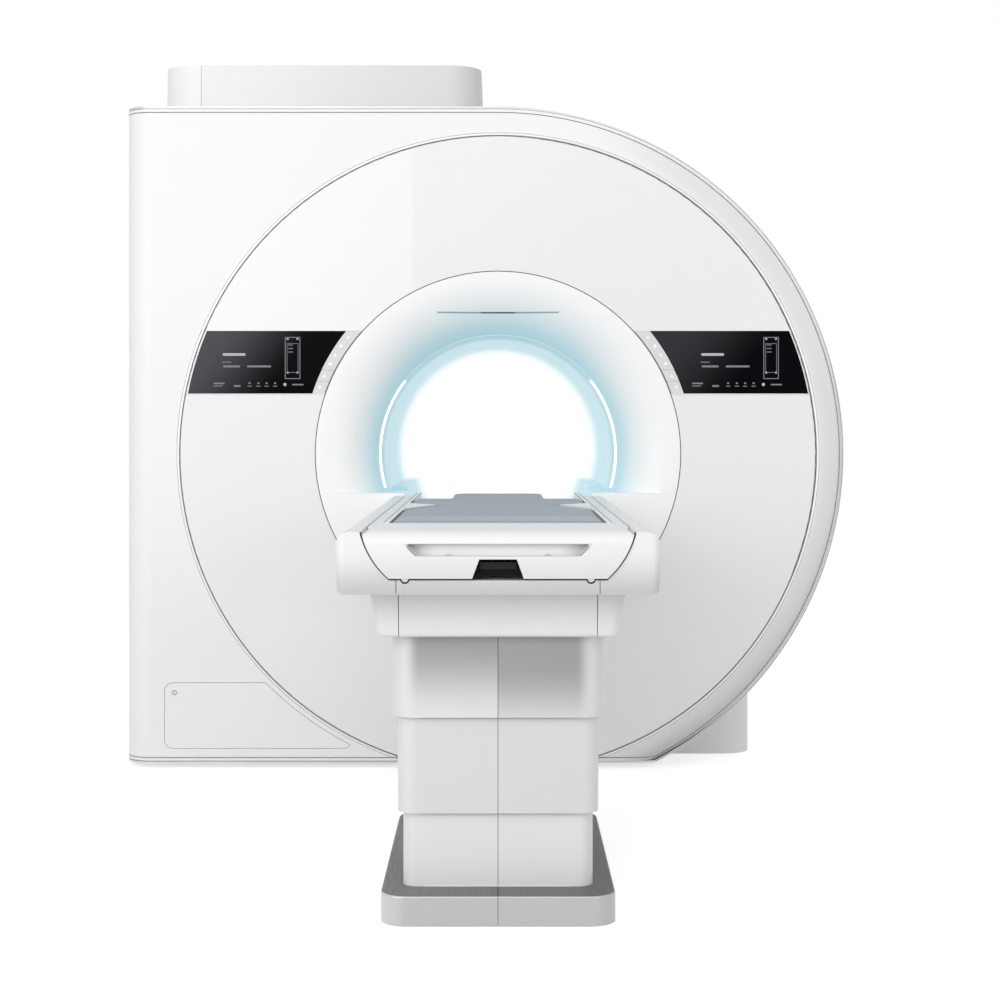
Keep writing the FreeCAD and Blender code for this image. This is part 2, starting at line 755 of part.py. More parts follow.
def panel_plate(name, grow, start, end):
    """Service panel outline, cut off by the round trim."""
    left = -s.panel_left - grow
    right = -s.panel_left + s.panel_width + grow
    plate = extrusion_y(
        name + "_plate",
        start,
        end,
        [
            (left, s.panel_bottom - grow, s.panel_round + grow),
            (right, s.panel_bottom - grow, s.panel_round + grow),
            (right, s.panel_top + grow, s.panel_round + grow),
            (left, s.panel_top + grow, s.panel_round + grow),
        ],
    )
    trim = bore_cylinder(
        name + "_trim", hole_radius + s.panel_lip * 2 - grow, start - OVER, size(end) + 1
    )
    return cut(name, plate, trim)


def service_panel():
    """Removable panel with a lip behind the cover, and its quarter-turn lock."""
    wall = s.shell_wall
    face = panel_plate("panel_face", 0, front_y, front_y + wall)
    lip = panel_plate("panel_lip_plate", s.panel_lip, front_y + wall, front_y + wall * 2)
    lock_x = -s.panel_left + s.lock_inset
    lock_z = s.panel_top - s.lock_inset
    hole = cylinder(
        "lock_hole", s.lock_radius + s.seat_gap, wall * 4, lock_x, front_y - wall, lock_z, "Y"
    )
    keep("service_panel", cut("service_panel", fuse("panel_blank", face, lip), hole))
    stud = cylinder("lock_stud", s.lock_radius, wall * 3, lock_x, front_y, lock_z, "Y")
    slot = box(
        "lock_slot",
        (lock_x - s.lock_radius / 2, front_y - OVER, lock_z - s.lock_radius / 8),
        (lock_x + s.lock_radius / 2, front_y + s.trim_recess, lock_z + s.lock_radius / 8),
    )
    keep("panel_lock", cut("panel_lock", stud, slot))


def perimeter_trim():
    """Bright strip along the top, round the arc and back along the foot."""
    near = s.trim_gap
    far = s.trim_gap + s.trim_width
    start = front_y + s.trim_set_back
    outer = d_block("trim_outer", -far, start, barrel_start)
    inner = d_block("trim_inner", -near, start - OVER, barrel_start + OVER)
    corner = left_corner("trim_corner", 0, front_y, s.corner_round)
    open_side = box(
        "trim_open_side",
        (-s.cover_left * 2, start - OVER, -s.cover_left),
        (-s.cover_left, barrel_start + OVER, cover_top * 2),
    )
    lean = box(
        "trim_lean",
        (0, -s.cover_left, -s.cover_left),
        (s.cover_left * 2, 0, cover_top * 2),
    )
    lean.Placement.Rotation = FreeCAD.Rotation(FreeCAD.Vector(0, 0, 1), s.trim_tilt.value)
    bind(lean, "Placement.Rotation.Angle", s.trim_tilt)
    place(lean, s.cover_left * 0, front_y - s.cover_left, -s.cover_left)
    keep("perimeter_trim", cut("perimeter_trim", outer, inner, corner, open_side, lean))


def front_bulkhead():
    """Plate that closes the back of the front cover round the barrel."""
    plate = d_block("bulkhead_d", -s.trim_gap + s.seat_gap, back_y, barrel_start)
    hole = bore_cylinder(
        "bulkhead_hole", s.barrel_radius - s.shell_wall * 3, back_y - OVER, barrel_start + 1
    )
    foot_hole = box(
        "bulkhead_foot_hole",
        (-s.foot_half_width, back_y - OVER, 0),
        (s.foot_half_width, barrel_start + OVER, s.saddle_top),
    )
    side = box(
        "bulkhead_side",
        (-s.cover_left * 2, back_y - OVER, 0),
        (-s.cover_left, barrel_start + OVER, cover_top * 2),
    )
    keep("front_bulkhead", cut("front_bulkhead", plate, hole, foot_hole, side))


def disc_band(name, low_radius, high_radius, start, end, bottom, top):
    """Left-hand slice of a ring between two levels."""
    ring = cut(
        name + "_ring",
        bore_cylinder(name + "_outer", high_radius, start, end),
        bore_cylinder(name + "_inner", low_radius, start - OVER, size(end) + OVER),
    )
    slab = box(name + "_slab", (-s.cover_left, start - OVER, bottom), (0, size(end) + OVER, top))
    return common(name, ring, slab)


def foot_zone(name, start, top):
    """Everything from one depth back and under one level, where the disc is cut off."""
    return box(name, (-s.cover_left, start, -s.cover_left), (s.cover_left, back_y, top))


def disc_fascia():
    """Glossy disc with a folded rim, open for the displays and keys."""
    wall = s.shell_wall
    disc = turned(
        "disc_blank",
        [
            (front_y, s.disc_hole),
            (front_y, s.disc_radius, s.disc_edge),
            (front_y + s.disc_rim, s.disc_radius),
            (front_y + s.disc_rim, s.disc_radius - wall),
            (front_y + wall, s.disc_radius - wall),
            (front_y + wall, s.disc_hole),
        ],
    )
    core = bore_cylinder(
        "display_core", s.display_outer + s.key_gap, front_y - OVER, front_y + wall + 1
    )
    slab = box(
        "display_slab",
        (-s.cover_left, front_y - OVER, s.display_bottom - s.key_gap),
        (s.cover_left, front_y + wall + OVER, s.display_top + s.key_gap),
    )
    band = common("display_band", core, slab)
    foot = foot_zone("disc_foot", front_y - OVER, s.cover_bottom)
    keep("disc_fascia", cut("disc_fascia", disc, band, foot))


def disc_trims():
    """Bright ring round the disc, and the dark seal round the bore mouth."""
    wall = s.shell_wall
    inner = s.disc_radius + s.trim_gap
    outer = inner + s.trim_width
    face = front_y + s.trim_recess
    rim_back = front_y + s.disc_rim
    ring = turned(
        "ring_blank",
        [
            (face, inner),
            (face, outer),
            (front_y + wall, outer),
            (front_y + wall, outer + s.panel_lip),
            (front_y + wall * 2, outer + s.panel_lip),
            (front_y + wall * 2, outer),
            (rim_back + wall, outer),
            (rim_back + wall, s.disc_radius - wall),
            (rim_back, s.disc_radius - wall),
            (rim_back, inner),
        ],
    )
    foot = foot_zone("ring_foot", front_y - OVER, s.cover_bottom)
    flange_foot = foot_zone("flange_foot", front_y + wall, s.cover_bottom + wall + s.seat_gap)
    keep("disc_trim_ring", cut("disc_trim_ring", ring, foot, flange_foot))
    low = s.mouth_radius + s.seat_gap
    high = s.disc_hole - s.seat_gap
    seal = turned(
        "mouth_seal",
        [(face, low), (face, high), (face + wall * 2, high), (face + wall * 2, low)],
    )
    cutter = box(
        "seal_cutter",
        (-s.cover_left, front_y - OVER, s.display_bottom - s.key_gap),
        (s.cover_left, front_y + wall * 4, s.display_top + s.key_gap),
    )
    keep("mouth_seal", cut("mouth_seal", seal, cutter))


def displays_and_keys():
    """Two glass displays, two touch strips and four push keys."""
    gap = s.key_gap
    glass = disc_band(
        "display", s.display_inner + gap * 2, s.display_outer, front_y,
        front_y + s.display_thick, s.display_bottom, s.display_top,
    )
    keep_pair("display", glass)
    far = s.display_inner
    back = front_y + s.key_thick + s.key_travel + s.key_gap
    pad = disc_band(
        "strip_face", s.key_inner, far, front_y, back, s.key_split + gap, s.display_top
    )
    carrier = disc_band(
        "strip_back", s.key_inner, far, back, back + s.shell_wall, s.display_bottom,
        s.display_top,
    )
    keep_pair("touch_strip", fuse("touch_strip", pad, carrier))
    for name, low, high in (
        ("upper_key", s.key_middle + gap, s.key_split),
        ("lower_key", s.display_bottom, s.key_middle),
    ):
        key = disc_band(
            name, s.key_inner + gap, far - gap, front_y, front_y + s.key_thick, low, high
        )
        keep_pair(name, key)


# ---------------------------------------------------------------- bore mouth


def mouth_profile(inner_wall, radius_end):
    """Corners of the trumpet-shaped front mouth."""
    wall = inner_wall
    back = front_y + wall
    return [
        (front_y, s.mouth_radius),
        (front_y, s.bore_radius, s.mouth_round),
        (mouth_end, s.bore_radius),
        (mouth_end, s.bore_radius + radius_end),
        (back, s.bore_radius + radius_end, s.mouth_round - wall),
        (back, s.mouth_radius),
    ]


def light_arc(name, extra):
    """Right-hand piece of a ring of light about the bore axis."""
    ring = doc.addObject("Part::Torus", name)
    ring.Radius1 = s.light_radius.value
    ring.Radius2 = (s.light_thick + extra).value
    ring.Angle3 = s.light_sweep.value
    bind(ring, "Radius1", s.light_radius)
    bind(ring, "Radius2", s.light_thick + extra)
    bind(ring, "Angle3", s.light_sweep)
    lay = FreeCAD.Rotation(FreeCAD.Vector(1, 0, 0), -90)
    turn = FreeCAD.Rotation(FreeCAD.Vector(0, 0, 1), -s.light_top.value)
    ring.Placement.Rotation = lay * turn
    return place(ring, 0, front_y + s.light_depth, s.bore_height)


def bore_mouth():
    """Front mouth with its light arcs and slit window, cut off at the shelf."""
    wall = s.shell_wall
    blank = turned("mouth_blank", mouth_profile(wall, wall))
    shelf_cut = box(
        "mouth_shelf_cut",
        (-s.cover_left, front_y - OVER, 0),
        (s.cover_left, mouth_end + OVER, s.shelf_height + s.seat_gap),
    )
    slit = box(
        "window_slab",
        (-s.window_width / 2, front_y - OVER, s.window_height),
        (s.window_width / 2, mouth_end, s.window_height + s.window_thick),
    )
    keep("slit_window", common("slit_window", blank, slit))
    arc = light_arc("light_arc", 0)
    keep("light_arc_right", arc)
    keep("light_arc_left", mirrored("light_arc_left", arc))
    groove = light_arc("light_groove", s.seat_gap)
    other = mirrored("light_groove_left", groove)
    keep("bore_mouth", cut("bore_mouth", blank, shelf_cut, slit, groove, other))


def hull_side(grow, floor, high):
    """Right side of the cradle's curved hull between two levels, grown sideways."""
    knee = s.knee_half + grow
    foot = knee - foot_slope * (knee_height - floor)
    head = knee + head_slope * (high - knee_height)
    return [(foot, floor), (knee, knee_height, s.knee_round), (head, high)]


def bore_floor():
    """Shelf at the foot of the mouth, and the rail bridge inside the bore."""
    wall = s.shell_wall
    back = front_y + wall
    fill = turned(
        "shelf_blank",
        [
            (front_y, 0),
            (front_y, s.mouth_radius),
            (back, s.mouth_radius),
            (back, s.bore_radius + wall, s.mouth_round - wall),
            (mouth_end, s.bore_radius + wall),
            (mouth_end, 0),
        ],
    )
    under = box(
        "shelf_under",
        (-s.cover_left, front_y - OVER, 0),
        (s.cover_left, mouth_end + OVER, s.shelf_height),
    )
    high = s.ledge_height + s.tray_gap * 4
    trough = extrusion_y(
        "trough_shape", front_y - OVER, s.bore_rear + OVER,
        both_sides(hull_side(s.tray_gap, tray_floor, high)),
    )
    shelf = common("shelf_part", fill, under)
    keep("mouth_shelf", cut("mouth_shelf", shelf, trough))
    core = bore_cylinder(
        "bridge_core", s.bore_radius - s.seat_gap, mouth_end, s.bore_rear
    )
    ledge = box(
        "bridge_top",
        (-s.cover_left, mouth_end - OVER, 0),
        (s.cover_left, s.bore_rear + OVER, s.ledge_height),
    )
    keep("bore_bridge", cut("bore_bridge", common("bridge_part", core, ledge), trough))
    keep("bridge_glides", glide_strips("bridge_glides", front_y + wall, s.bore_rear - wall))


def glide_strips(name, start, end):
    """Two low plastic strips that the cradle slides on."""
    strips = []
    for index, side in enumerate((-1, 1)):
        middle = s.glide_across * side
        strips.append(
            box(
                f"{name}_{index}",
                (middle - s.glide_half, start, tray_floor),
                (middle + s.glide_half, end, s.cradle_bottom - s.seat_gap),
            )
        )
    return fuse(name, *strips)


# ---------------------------------------------------------------- covers behind


def barrel_and_rear():
    """Barrel cover, rear cover and the rear mouth of the bore."""
    wall = s.shell_wall
    inner = s.barrel_radius - wall
    barrel = turned(
        "barrel_blank",
        [
            (barrel_start, inner),
            (barrel_end, inner),
            (barrel_end, s.barrel_radius),
            (barrel_start, s.barrel_radius),
        ],
    )
    foot = box(
        "barrel_foot_cut",
        (-s.cover_left, barrel_start - OVER, -s.cover_left),
        (s.cover_left, barrel_end + OVER, s.barrel_foot),
    )
    half = s.turret_side / 2 + s.seat_gap * 2
    neck = box(
        "barrel_neck_hole",
        (-s.turret_left - half, -half, s.bore_height),
        (-s.turret_left + half, half, cabinet_top),
    )
    keep("barrel_cover", cut("barrel_cover", barrel, foot, neck))
    rear = barrel_end + s.rear_crown
    hole = s.rear_mouth_radius + s.seat_gap
    cover = turned(
        "rear_cover",
        [
            (barrel_end, s.barrel_radius - wall * 2),
            (barrel_end, s.barrel_radius),
            (barrel_end + wall * 2, s.barrel_radius, wall),
            (rear, hole),
            (rear - wall, hole),
            (barrel_end + wall, s.barrel_radius - wall * 2),
        ],
    )
    keep("rear_cover", cover)
    mouth = turned(
        "rear_mouth",
        [
            (rear, s.rear_mouth_radius),
            (rear, s.bore_radius, s.rear_mouth_round),
            (s.bore_rear, s.bore_radius),
            (s.bore_rear, s.bore_radius + wall),
            (rear - wall, s.bore_radius + wall, s.rear_mouth_round - wall),
            (rear - wall, s.rear_mouth_radius),
        ],
    )
    keep("rear_mouth", mouth)


def cabinet_cover():
    """Left-hand equipment cabinet beside the barrel."""
    wall = s.shell_wall
    left, right = -s.cabinet_left, -s.cabinet_right
    start, end = barrel_start, s.cabinet_rear
    turn = s.cabinet_round
    outer = extrusion_z(
        "cabinet_outer", s.cover_bottom, cabinet_top,
        [(left, start), (right, start), (right, end), (left, end, turn)],
    )
    inner = extrusion_z(
        "cabinet_inner", 0, cabinet_top - wall,
        [
            (left + wall, start + wall),
            (right - wall, start + wall),
            (right - wall, end - wall),
            (left + wall, end - wall, turn - wall),
        ],
    )
    barrel = bore_cylinder(
        "cabinet_barrel", s.barrel_radius + s.seat_gap, barrel_start - OVER, s.cabinet_rear + 1
    )
    inside = box(
        "cabinet_inside",
        (-s.foot_half_width - wall, start - OVER, 0),
        (0, end + OVER, s.bore_height),
    )
    turret = box(
        "cabinet_turret_hole",
        (-s.turret_left - s.turret_side, -s.turret_side, s.bore_height),
        (-s.turret_left + s.turret_side, s.turret_side, cabinet_top + wall),
    )
    keep("cabinet_cover", cut("cabinet_cover", outer, inner, barrel, inside, turret))


def lower_housing():
    """Right-hand lower cover that stands on the floor under the barrel."""
    wall = s.shell_wall
    left, right = s.skirt_inner, s.skirt_right
    start, end = barrel_start, s.skirt_rear
    turn = s.skirt_round
    outer = extrusion_z(
        "skirt_outer", 0, s.skirt_height,
        [(left, start), (right, start, turn), (right, end, turn), (left, end)],
    )
    inner = extrusion_z(
        "skirt_hollow", -wall, s.skirt_height + wall,
        [
            (left - wall, start + wall),
            (right - wall, start + wall, turn - wall),
            (right - wall, end - wall, turn - wall),
            (left - wall, end - wall),
        ],
    )
    barrel = bore_cylinder(
        "skirt_barrel", s.barrel_radius + s.seat_gap, barrel_start - OVER, s.skirt_rear + 1
    )
    keep("lower_housing", cut("lower_housing", outer, inner, barrel))


def top_cap():
    """Rounded cap over the service turret, in a long piece and an end piece."""
    wall = s.shell_wall
    foot = cabinet_top
    start = barrel_start
    end = start + s.cap_length
    outer = extrusion_z(
        "cap_outer", foot, cap_top,
        rounded_plan(-s.cap_left, -s.cap_right, start, end, s.cap_round), lean=s.cap_taper,
    )
    inner = extrusion_z(
        "cap_inner", foot - wall, cap_top - wall,
        rounded_plan(
            -s.cap_left + wall, -s.cap_right - wall, start + wall, end - wall,
            s.cap_round - wall,
        ),
        lean=s.cap_taper,
    )
    shell = cut("cap_shell", outer, inner)
    seam = s.trim_gap / 4
    low = foot - 1
    high = cap_top + 1
    left_half = box(
        "cap_left_half", (-s.cover_left, start - OVER, low), (-s.cap_seam - seam, end + OVER, high)
    )
    right_half = box(
        "cap_right_half", (-s.cap_seam + seam, start - OVER, low), (s.cover_left, end + OVER, high)
    )
    keep("cap_end", common("cap_end", shell, left_half))
    keep("top_cap", common("top_cap", shell, right_half))


# ---------------------------------------------------------------- table


def column_plan(grow):
    """Plan outline of the column covers, grown from the upper one."""
    half = s.column_width / 2 + grow
    reach = s.column_length / 2 + grow
    middle = -s.column_middle
    return rounded_plan(-half, half, middle - reach, middle + reach, s.column_round + grow)


def half_shells(name, shell, seam):
    """Splits a cover into left and right halves at a centre seam."""
    left = box(
        name + "_left_half",
        (-s.cover_left, -s.table_front * 2, -10),
        (-seam / 2, front_y, s.cradle_bottom),
    )
    keep_pair(name, common(name + "_half", shell, left))


def columns():
    """Three telescoping column covers, each in two halves."""
    step = s.sleeve_wall + s.sleeve_gap
    for name, index, low, high in (
        ("upper_column", 0, s.upper_foot, frame_top),
        ("middle_column", 1, s.middle_foot, s.middle_head),
        ("lower_column", 2, s.base_plate, s.lower_head),
    ):
        shell = extrusion_z(
            name + "_shell", low, high,
            column_plan(-step * index), column_plan(-step * index - s.sleeve_wall),
        )
        half_shells(name, shell, s.sleeve_seam)


def tube_plan(grow):
    half = s.tube_width / 2 + grow
    reach = s.tube_length / 2 + grow
    middle = -s.column_middle
    return rounded_plan(-half, half, middle - reach, middle + reach, s.tube_round + grow)


def lift_tubes():
    """Three nested lift tubes that carry the table."""
    step = s.tube_wall + s.tube_gap
    for name, index, low, high in (
        ("lower_lift_tube", 0, s.base_plate, s.lower_tube_head),
        ("middle_lift_tube", 1, s.middle_tube_foot, s.middle_tube_head),
        ("upper_lift_tube", 2, s.upper_tube_foot, frame_top - s.frame_thick),
    ):
        tube = extrusion_z(
            name, low, high, tube_plan(-step * index), tube_plan(-step * index - s.tube_wall)
        )
        keep(name, tube)


def table_base():
    """Floor plate and the two halves of its metallic cover."""
    front = -s.base_front
    rear = front + s.base_length
    half = s.base_width / 2
    inset = s.base_inset
    plate = extrusion_z(
        "table_base_blank", 0, s.base_plate,
        rounded_plan(-half + inset, half - inset, front + inset, rear - inset, s.base_round - inset),
    )
    holes = []
    for index, (a, b) in enumerate(((-1, -1), (1, -1), (1, 1), (-1, 1))):
        x = (s.tube_width / 2 + s.anchor_inset / 2) * a
        y = -s.column_middle + (s.tube_length / 2 + s.anchor_inset / 2) * b
        holes.append(
            cylinder(f"table_anchor_{index}", s.anchor_hole / 2, s.base_plate * 3, x, y,
                     -s.base_plate)
        )
    keep("table_base", cut("table_base", plate, *holes))
    blank = extrusion_z(
        "base_cover_outer", s.seat_gap * 3, s.base_height,
        rounded_plan(-half, half, front, rear, s.base_round),
    )
    outer = rounded_edges("base_cover_rounded", blank, s.base_height, s.base_edge)
    wall = s.shell_wall
    room = inset - s.seat_gap
    inner = extrusion_z(
        "base_cover_inner", 0, s.base_plate + s.seat_gap,
        rounded_plan(-half + room, half - room, front + room, rear - room, s.base_round - room),
    )
    hollow = extrusion_z(
        "base_cover_hollow", s.base_plate, s.base_height - wall,
        rounded_plan(-half + wall * 3, half - wall * 3, front + wall * 3, rear - wall * 3,
                     s.base_round - wall * 3),
    )
    step = s.sleeve_wall + s.sleeve_gap
    column = extrusion_z(
        "base_cover_hole", s.base_plate, s.base_height + OVER, column_plan(-step * 2 + s.sleeve_gap)
    )
    cover = cut("base_cover_shell", outer, inner, hollow, column)
    half_shells("base_cover", cover, s.sleeve_seam)


def tray_covers():
    """Tray round the cradle with the tapered box under it, in three covers."""
    low = s.tray_bottom
    high = s.cradle_top
    half = s.tray_half
    start = -s.table_front + s.tray_front_gap
    channel = hull_side(s.tray_gap, tray_floor, high)
    right = [
        (half - s.tray_lean, low, s.tray_bottom_round),
        (half, high, s.tray_shoulder_round),
        *reversed(channel),
    ]
    tray = extrusion_y("tray_blank", start, tray_rear, both_sides(right))
    front_round = extrusion_z(
        "tray_plan", low - s.box_height * 2, high + 10,
        [
            (-half, start, s.tray_front_round),
            (half, start, s.tray_front_round),
            (half, tray_rear),
            (-half, tray_rear),
        ],
    )
    box_front = -s.table_front + s.box_set_back
    box_rear = box_front + s.box_length
    blank = extrusion_z(
        "tray_box", low - s.box_height, low,
        rounded_plan(-s.box_half, s.box_half, box_front, box_rear, s.box_round),
        lean=s.box_taper, down=True,
    )
    under = rounded_edges("tray_box_rounded", blank, low - s.box_height, s.box_edge)
    whole = fuse("tray_whole", common("tray_rounded", tray, front_round), under)
    wall = s.shell_wall
    inset = s.box_height / 4 + wall
    hollow = extrusion_z(
        "tray_hollow", low - s.box_height + wall, frame_top,
        rounded_plan(
            -s.box_half + inset, s.box_half - inset, box_front + inset, box_rear - inset,
            s.box_round - inset / 2,
        ),
    )
    column = extrusion_z(
        "tray_column_hole", low - s.box_height - OVER, frame_top, column_plan(s.seat_gap)
    )
    beads = guide_beads("tray_beads", s.guide_radius + s.guide_gap, start - OVER, tray_rear + OVER)
    shell = cut("tray_shell", whole, hollow, column, beads)
    middle = s.tray_seam_half
    gap = s.tray_seam / 2
    reach = (-s.table_front * 2, -10)
    side = box(
        "tray_side_zone",
        (-s.cover_left, reach[0], reach[1]),
        (-middle - gap, front_y, cover_top),
    )
    centre = box(
        "tray_centre_zone",
        (-middle + gap, reach[0], reach[1]),
        (middle - gap, front_y, cover_top),
    )
    keep_pair("side_cover", common("side_cover", shell, side))
    keep("tray_cover", common("tray_cover", shell, centre))
    keep("table_glides", glide_strips("table_glides", start + wall, tray_rear - wall))
    frame = box(
        "table_frame",
        (-s.frame_half, -s.column_middle - s.frame_half_length, frame_top - s.frame_thick),
        (s.frame_half, -s.column_middle + s.frame_half_length, frame_top),
    )
    keep("table_frame", frame)


def guide_beads(name, radius, start, end):
    """Two round beads under the cradle, or the grooves for them."""
    beads = []
    for index, side in enumerate((-1, 1)):
        beads.append(
            cylinder(
                f"{name}_{index}", radius, size(end) - start, s.guide_across * side, start,
                s.cradle_bottom, "Y",
            )
        )
    return fuse(name, *beads)


def cradle_section():
    """Right half of the cradle's outer section, from the middle of its bottom."""
    return hull_side(0, s.cradle_bottom, s.cradle_shoulder) + [
        (s.cradle_half_top, s.cradle_top),
        (s.rail_outer + s.rail_groove, s.cradle_top),
        (s.rail_outer + s.rail_groove, s.cradle_top - s.groove_depth),
        (s.rail_outer, s.cradle_top - s.groove_depth),
        (s.rail_outer, s.rail_top),
        (s.rail_inner, s.rail_top),
        (s.rail_inner, s.bed_floor),
    ]


def cradle():
    """Hollow moulded cradle with its rails and socket steps."""
    wall = s.cradle_wall
    slope_inset = wall * 1.2
    hollow = [
        (-s.cradle_half_bottom + slope_inset, s.cradle_bottom + wall),
        (s.cradle_half_bottom - slope_inset, s.cradle_bottom + wall),
        (s.cradle_half_top - slope_inset * 2, s.bed_floor - wall),
        (-s.cradle_half_top + slope_inset * 2, s.bed_floor - wall),
    ]
    section = both_sides(cradle_section())
    tube = extrusion_y("cradle_tube", nose_rear, tray_rear, section, hollow)
    block = socket_block()
    keep("cradle", fuse("cradle", tube, block, mirrored("socket_block_right", block)))


def lid_plan(edge, grow):
    """Left-hand triangle that points in from an edge beside the rail."""
    return [
        (edge, -s.lid_front - grow * 8),
        (-s.rail_inner + s.lid_reach + grow, -s.lid_tip, s.lid_tip_round),
        (edge, -s.lid_rear + grow * 4),
    ]


def socket_block():
    """Triangular step beside the rail, with a well for the coil plugs."""
    lid_foot = s.rail_top + s.seat_gap
    step = extrusion_z(
        "socket_step", s.bed_floor - OVER, lid_foot - s.seat_gap,
        lid_plan(-s.rail_inner - OVER, 0),
    )
    inner = -s.rail_inner + s.shell_wall * 2
    well_rear = -s.lid_tip + s.well_width
    well = box(
        "socket_well",
        (inner, well_rear - s.well_length, s.bed_floor + s.shell_wall),
        (inner + s.well_width, well_rear, lid_foot),
    )
    return cut("socket_block", step, well)


def mattress():
    """Wide mattress with a narrow head strip, notched round the socket lids."""
    front = nose_rear + OVER
    rear = nose_rear + s.mattress_length
    half = s.mattress_half
    head = s.head_half
    turn = s.mattress_round
    pad = extrusion_z(
        "mattress_blank", s.bed_floor, s.mattress_top,
        [
            (-half, front, turn),
            (half, front, turn),
            (half, rear, turn),
            (head, rear),
            (head, rear + s.head_length, turn),
            (-head, rear + s.head_length, turn),
            (-head, rear),
            (-half, rear, turn),
        ],
    )
    notch = extrusion_z(
        "mattress_notch", s.bed_floor - OVER, s.mattress_top + OVER,
        lid_plan(-s.rail_inner - OVER, s.mattress_gap),
    )
    keep("mattress", cut("mattress", pad, notch, mirrored("mattress_notch_right", notch)))


def socket_lids():
    """Triangular lids over the coil sockets, each with a round hinge edge beside its rail."""
    foot = s.rail_top + s.seat_gap
    half = s.lid_thick / 2
    hinge = -s.rail_inner + s.seat_gap + half
    plate = extrusion_z("lid_plate", foot, foot + s.lid_thick, lid_plan(hinge, 0))
    knuckle = cylinder(
        "lid_knuckle", half, s.lid_front - s.lid_rear, hinge, -s.lid_front, foot + half, "Y"
    )
    keep_pair("socket_lid", fuse("socket_lid", plate, knuckle))


def cradle_nose():
    """Handle end of the cradle with its grip recess and release recess."""
    front = -s.table_front
    low = s.cradle_bottom
    right = hull_side(0, low, s.cradle_shoulder)
    right.append((s.rail_outer, s.rail_top, s.crown_round))
    section = extrusion_y("nose_section", front, nose_rear, both_sides(right))
    profile = extrusion_x(
        "nose_profile", -s.tray_half, s.tray_half,
        [
            (front, low),
            (nose_rear, low),
            (nose_rear, s.rail_top - OVER),
            (front, s.cradle_top, s.nose_round),
        ],
    )
    blank = common("nose_blank", section, profile)
    pocket = extrusion_y(
        "handle_pocket", front - OVER, front + s.handle_depth,
        both_sides(
            [
                (s.handle_half_bottom, s.handle_bottom, s.handle_round),
                (s.handle_half_top, s.handle_top, s.handle_round),
            ]
        ),
    )
    ends = extrusion_z(
        "handle_ends", s.handle_bottom - OVER, s.handle_top + OVER,
        both_sides(
            [
                (s.handle_half_top, front - OVER),
                (s.handle_half_back, front + s.handle_depth, s.handle_round),
            ]
        ),
    )
    release = extrusion_y(
        "release_pocket", front - OVER, front + s.grip_depth,
        [
            (-s.grip_half_bottom, s.cradle_bottom - OVER),
            (s.grip_half_bottom, s.cradle_bottom - OVER),
            (s.grip_half_top, s.grip_top),
            (-s.grip_half_top, s.grip_top),
        ],
    )
    beads = guide_beads("nose_beads", s.guide_radius, front + s.guide_radius / 2, nose_rear)
    body = cut("nose_cut", blank, common("handle_recess", pocket, ends), release)
    keep("cradle_nose", fuse("cradle_nose", body, beads))
    gap = s.seat_gap
    paddle = box(
        "release_paddle",
        (-s.grip_half_top + gap * 3, front + s.grip_depth / 3, s.grip_top - s.guide_radius * 3),
        (s.grip_half_top - gap * 3, front + s.grip_depth - gap, s.grip_top - s.guide_radius),
    )
    keep("release_paddle", paddle)


# ---------------------------------------------------------------- build and write

magnet_base()
magnet_core()
helium_turret()
front_body_cover()
service_panel()
perimeter_trim()
front_bulkhead()
disc_fascia()
disc_trims()
displays_and_keys()
bore_mouth()
bore_floor()
barrel_and_rear()
cabinet_cover()
lower_housing()
top_cap()
columns()
lift_tubes()
table_base()
tray_covers()
cradle()
mattress()
socket_lids()
cradle_nose()

doc.recompute()


def check_document():
    """Stops on a failed feature or an unsound piece."""
    for thing in doc.Objects:
        if "Invalid" in thing.State or "Error" in thing.State:
            raise RuntimeError(f"{thing.Label} failed to build: {thing.State}")
    for name, feature in parts.items():
        shape = feature.Shape
        if shape.isNull() or not shape.isValid() or not shape.Solids:
            raise RuntimeError(f"{name} is not a sound solid")


check_document()
os.makedirs("parts", exist_ok=True)
for name, feature in parts.items():
    feature.Shape.exportStep(f"parts/{name}.step")
print(f"{len(parts)} pieces written")
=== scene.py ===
"""Looks of a wide-bore MRI scanner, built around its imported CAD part.

Metres, in the part's own frame: +Z up, +Y along the bore away from the table, origin on the
floor below the middle of the bore.
"""

import json
import math

import bmesh
import bpy
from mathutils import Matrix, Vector
from mathutils.bvhtree import BVHTree

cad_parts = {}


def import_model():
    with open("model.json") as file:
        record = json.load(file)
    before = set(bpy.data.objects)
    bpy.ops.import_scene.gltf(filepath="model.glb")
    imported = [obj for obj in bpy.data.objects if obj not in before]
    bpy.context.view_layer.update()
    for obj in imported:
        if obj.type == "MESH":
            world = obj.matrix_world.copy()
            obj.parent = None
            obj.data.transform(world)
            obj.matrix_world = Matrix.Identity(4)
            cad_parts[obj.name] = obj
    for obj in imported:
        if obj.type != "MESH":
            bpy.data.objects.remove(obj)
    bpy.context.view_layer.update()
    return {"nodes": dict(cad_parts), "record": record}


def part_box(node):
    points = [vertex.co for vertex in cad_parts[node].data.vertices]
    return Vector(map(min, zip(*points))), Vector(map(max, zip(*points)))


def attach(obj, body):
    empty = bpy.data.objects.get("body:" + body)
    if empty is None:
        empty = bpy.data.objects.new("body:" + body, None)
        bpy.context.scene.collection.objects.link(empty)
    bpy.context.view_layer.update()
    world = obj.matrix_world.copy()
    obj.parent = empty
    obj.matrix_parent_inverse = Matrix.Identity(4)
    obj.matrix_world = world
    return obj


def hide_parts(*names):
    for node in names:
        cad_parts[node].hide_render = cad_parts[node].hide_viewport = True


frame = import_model()
nodes = frame["nodes"]

# ---- places taken from the frame

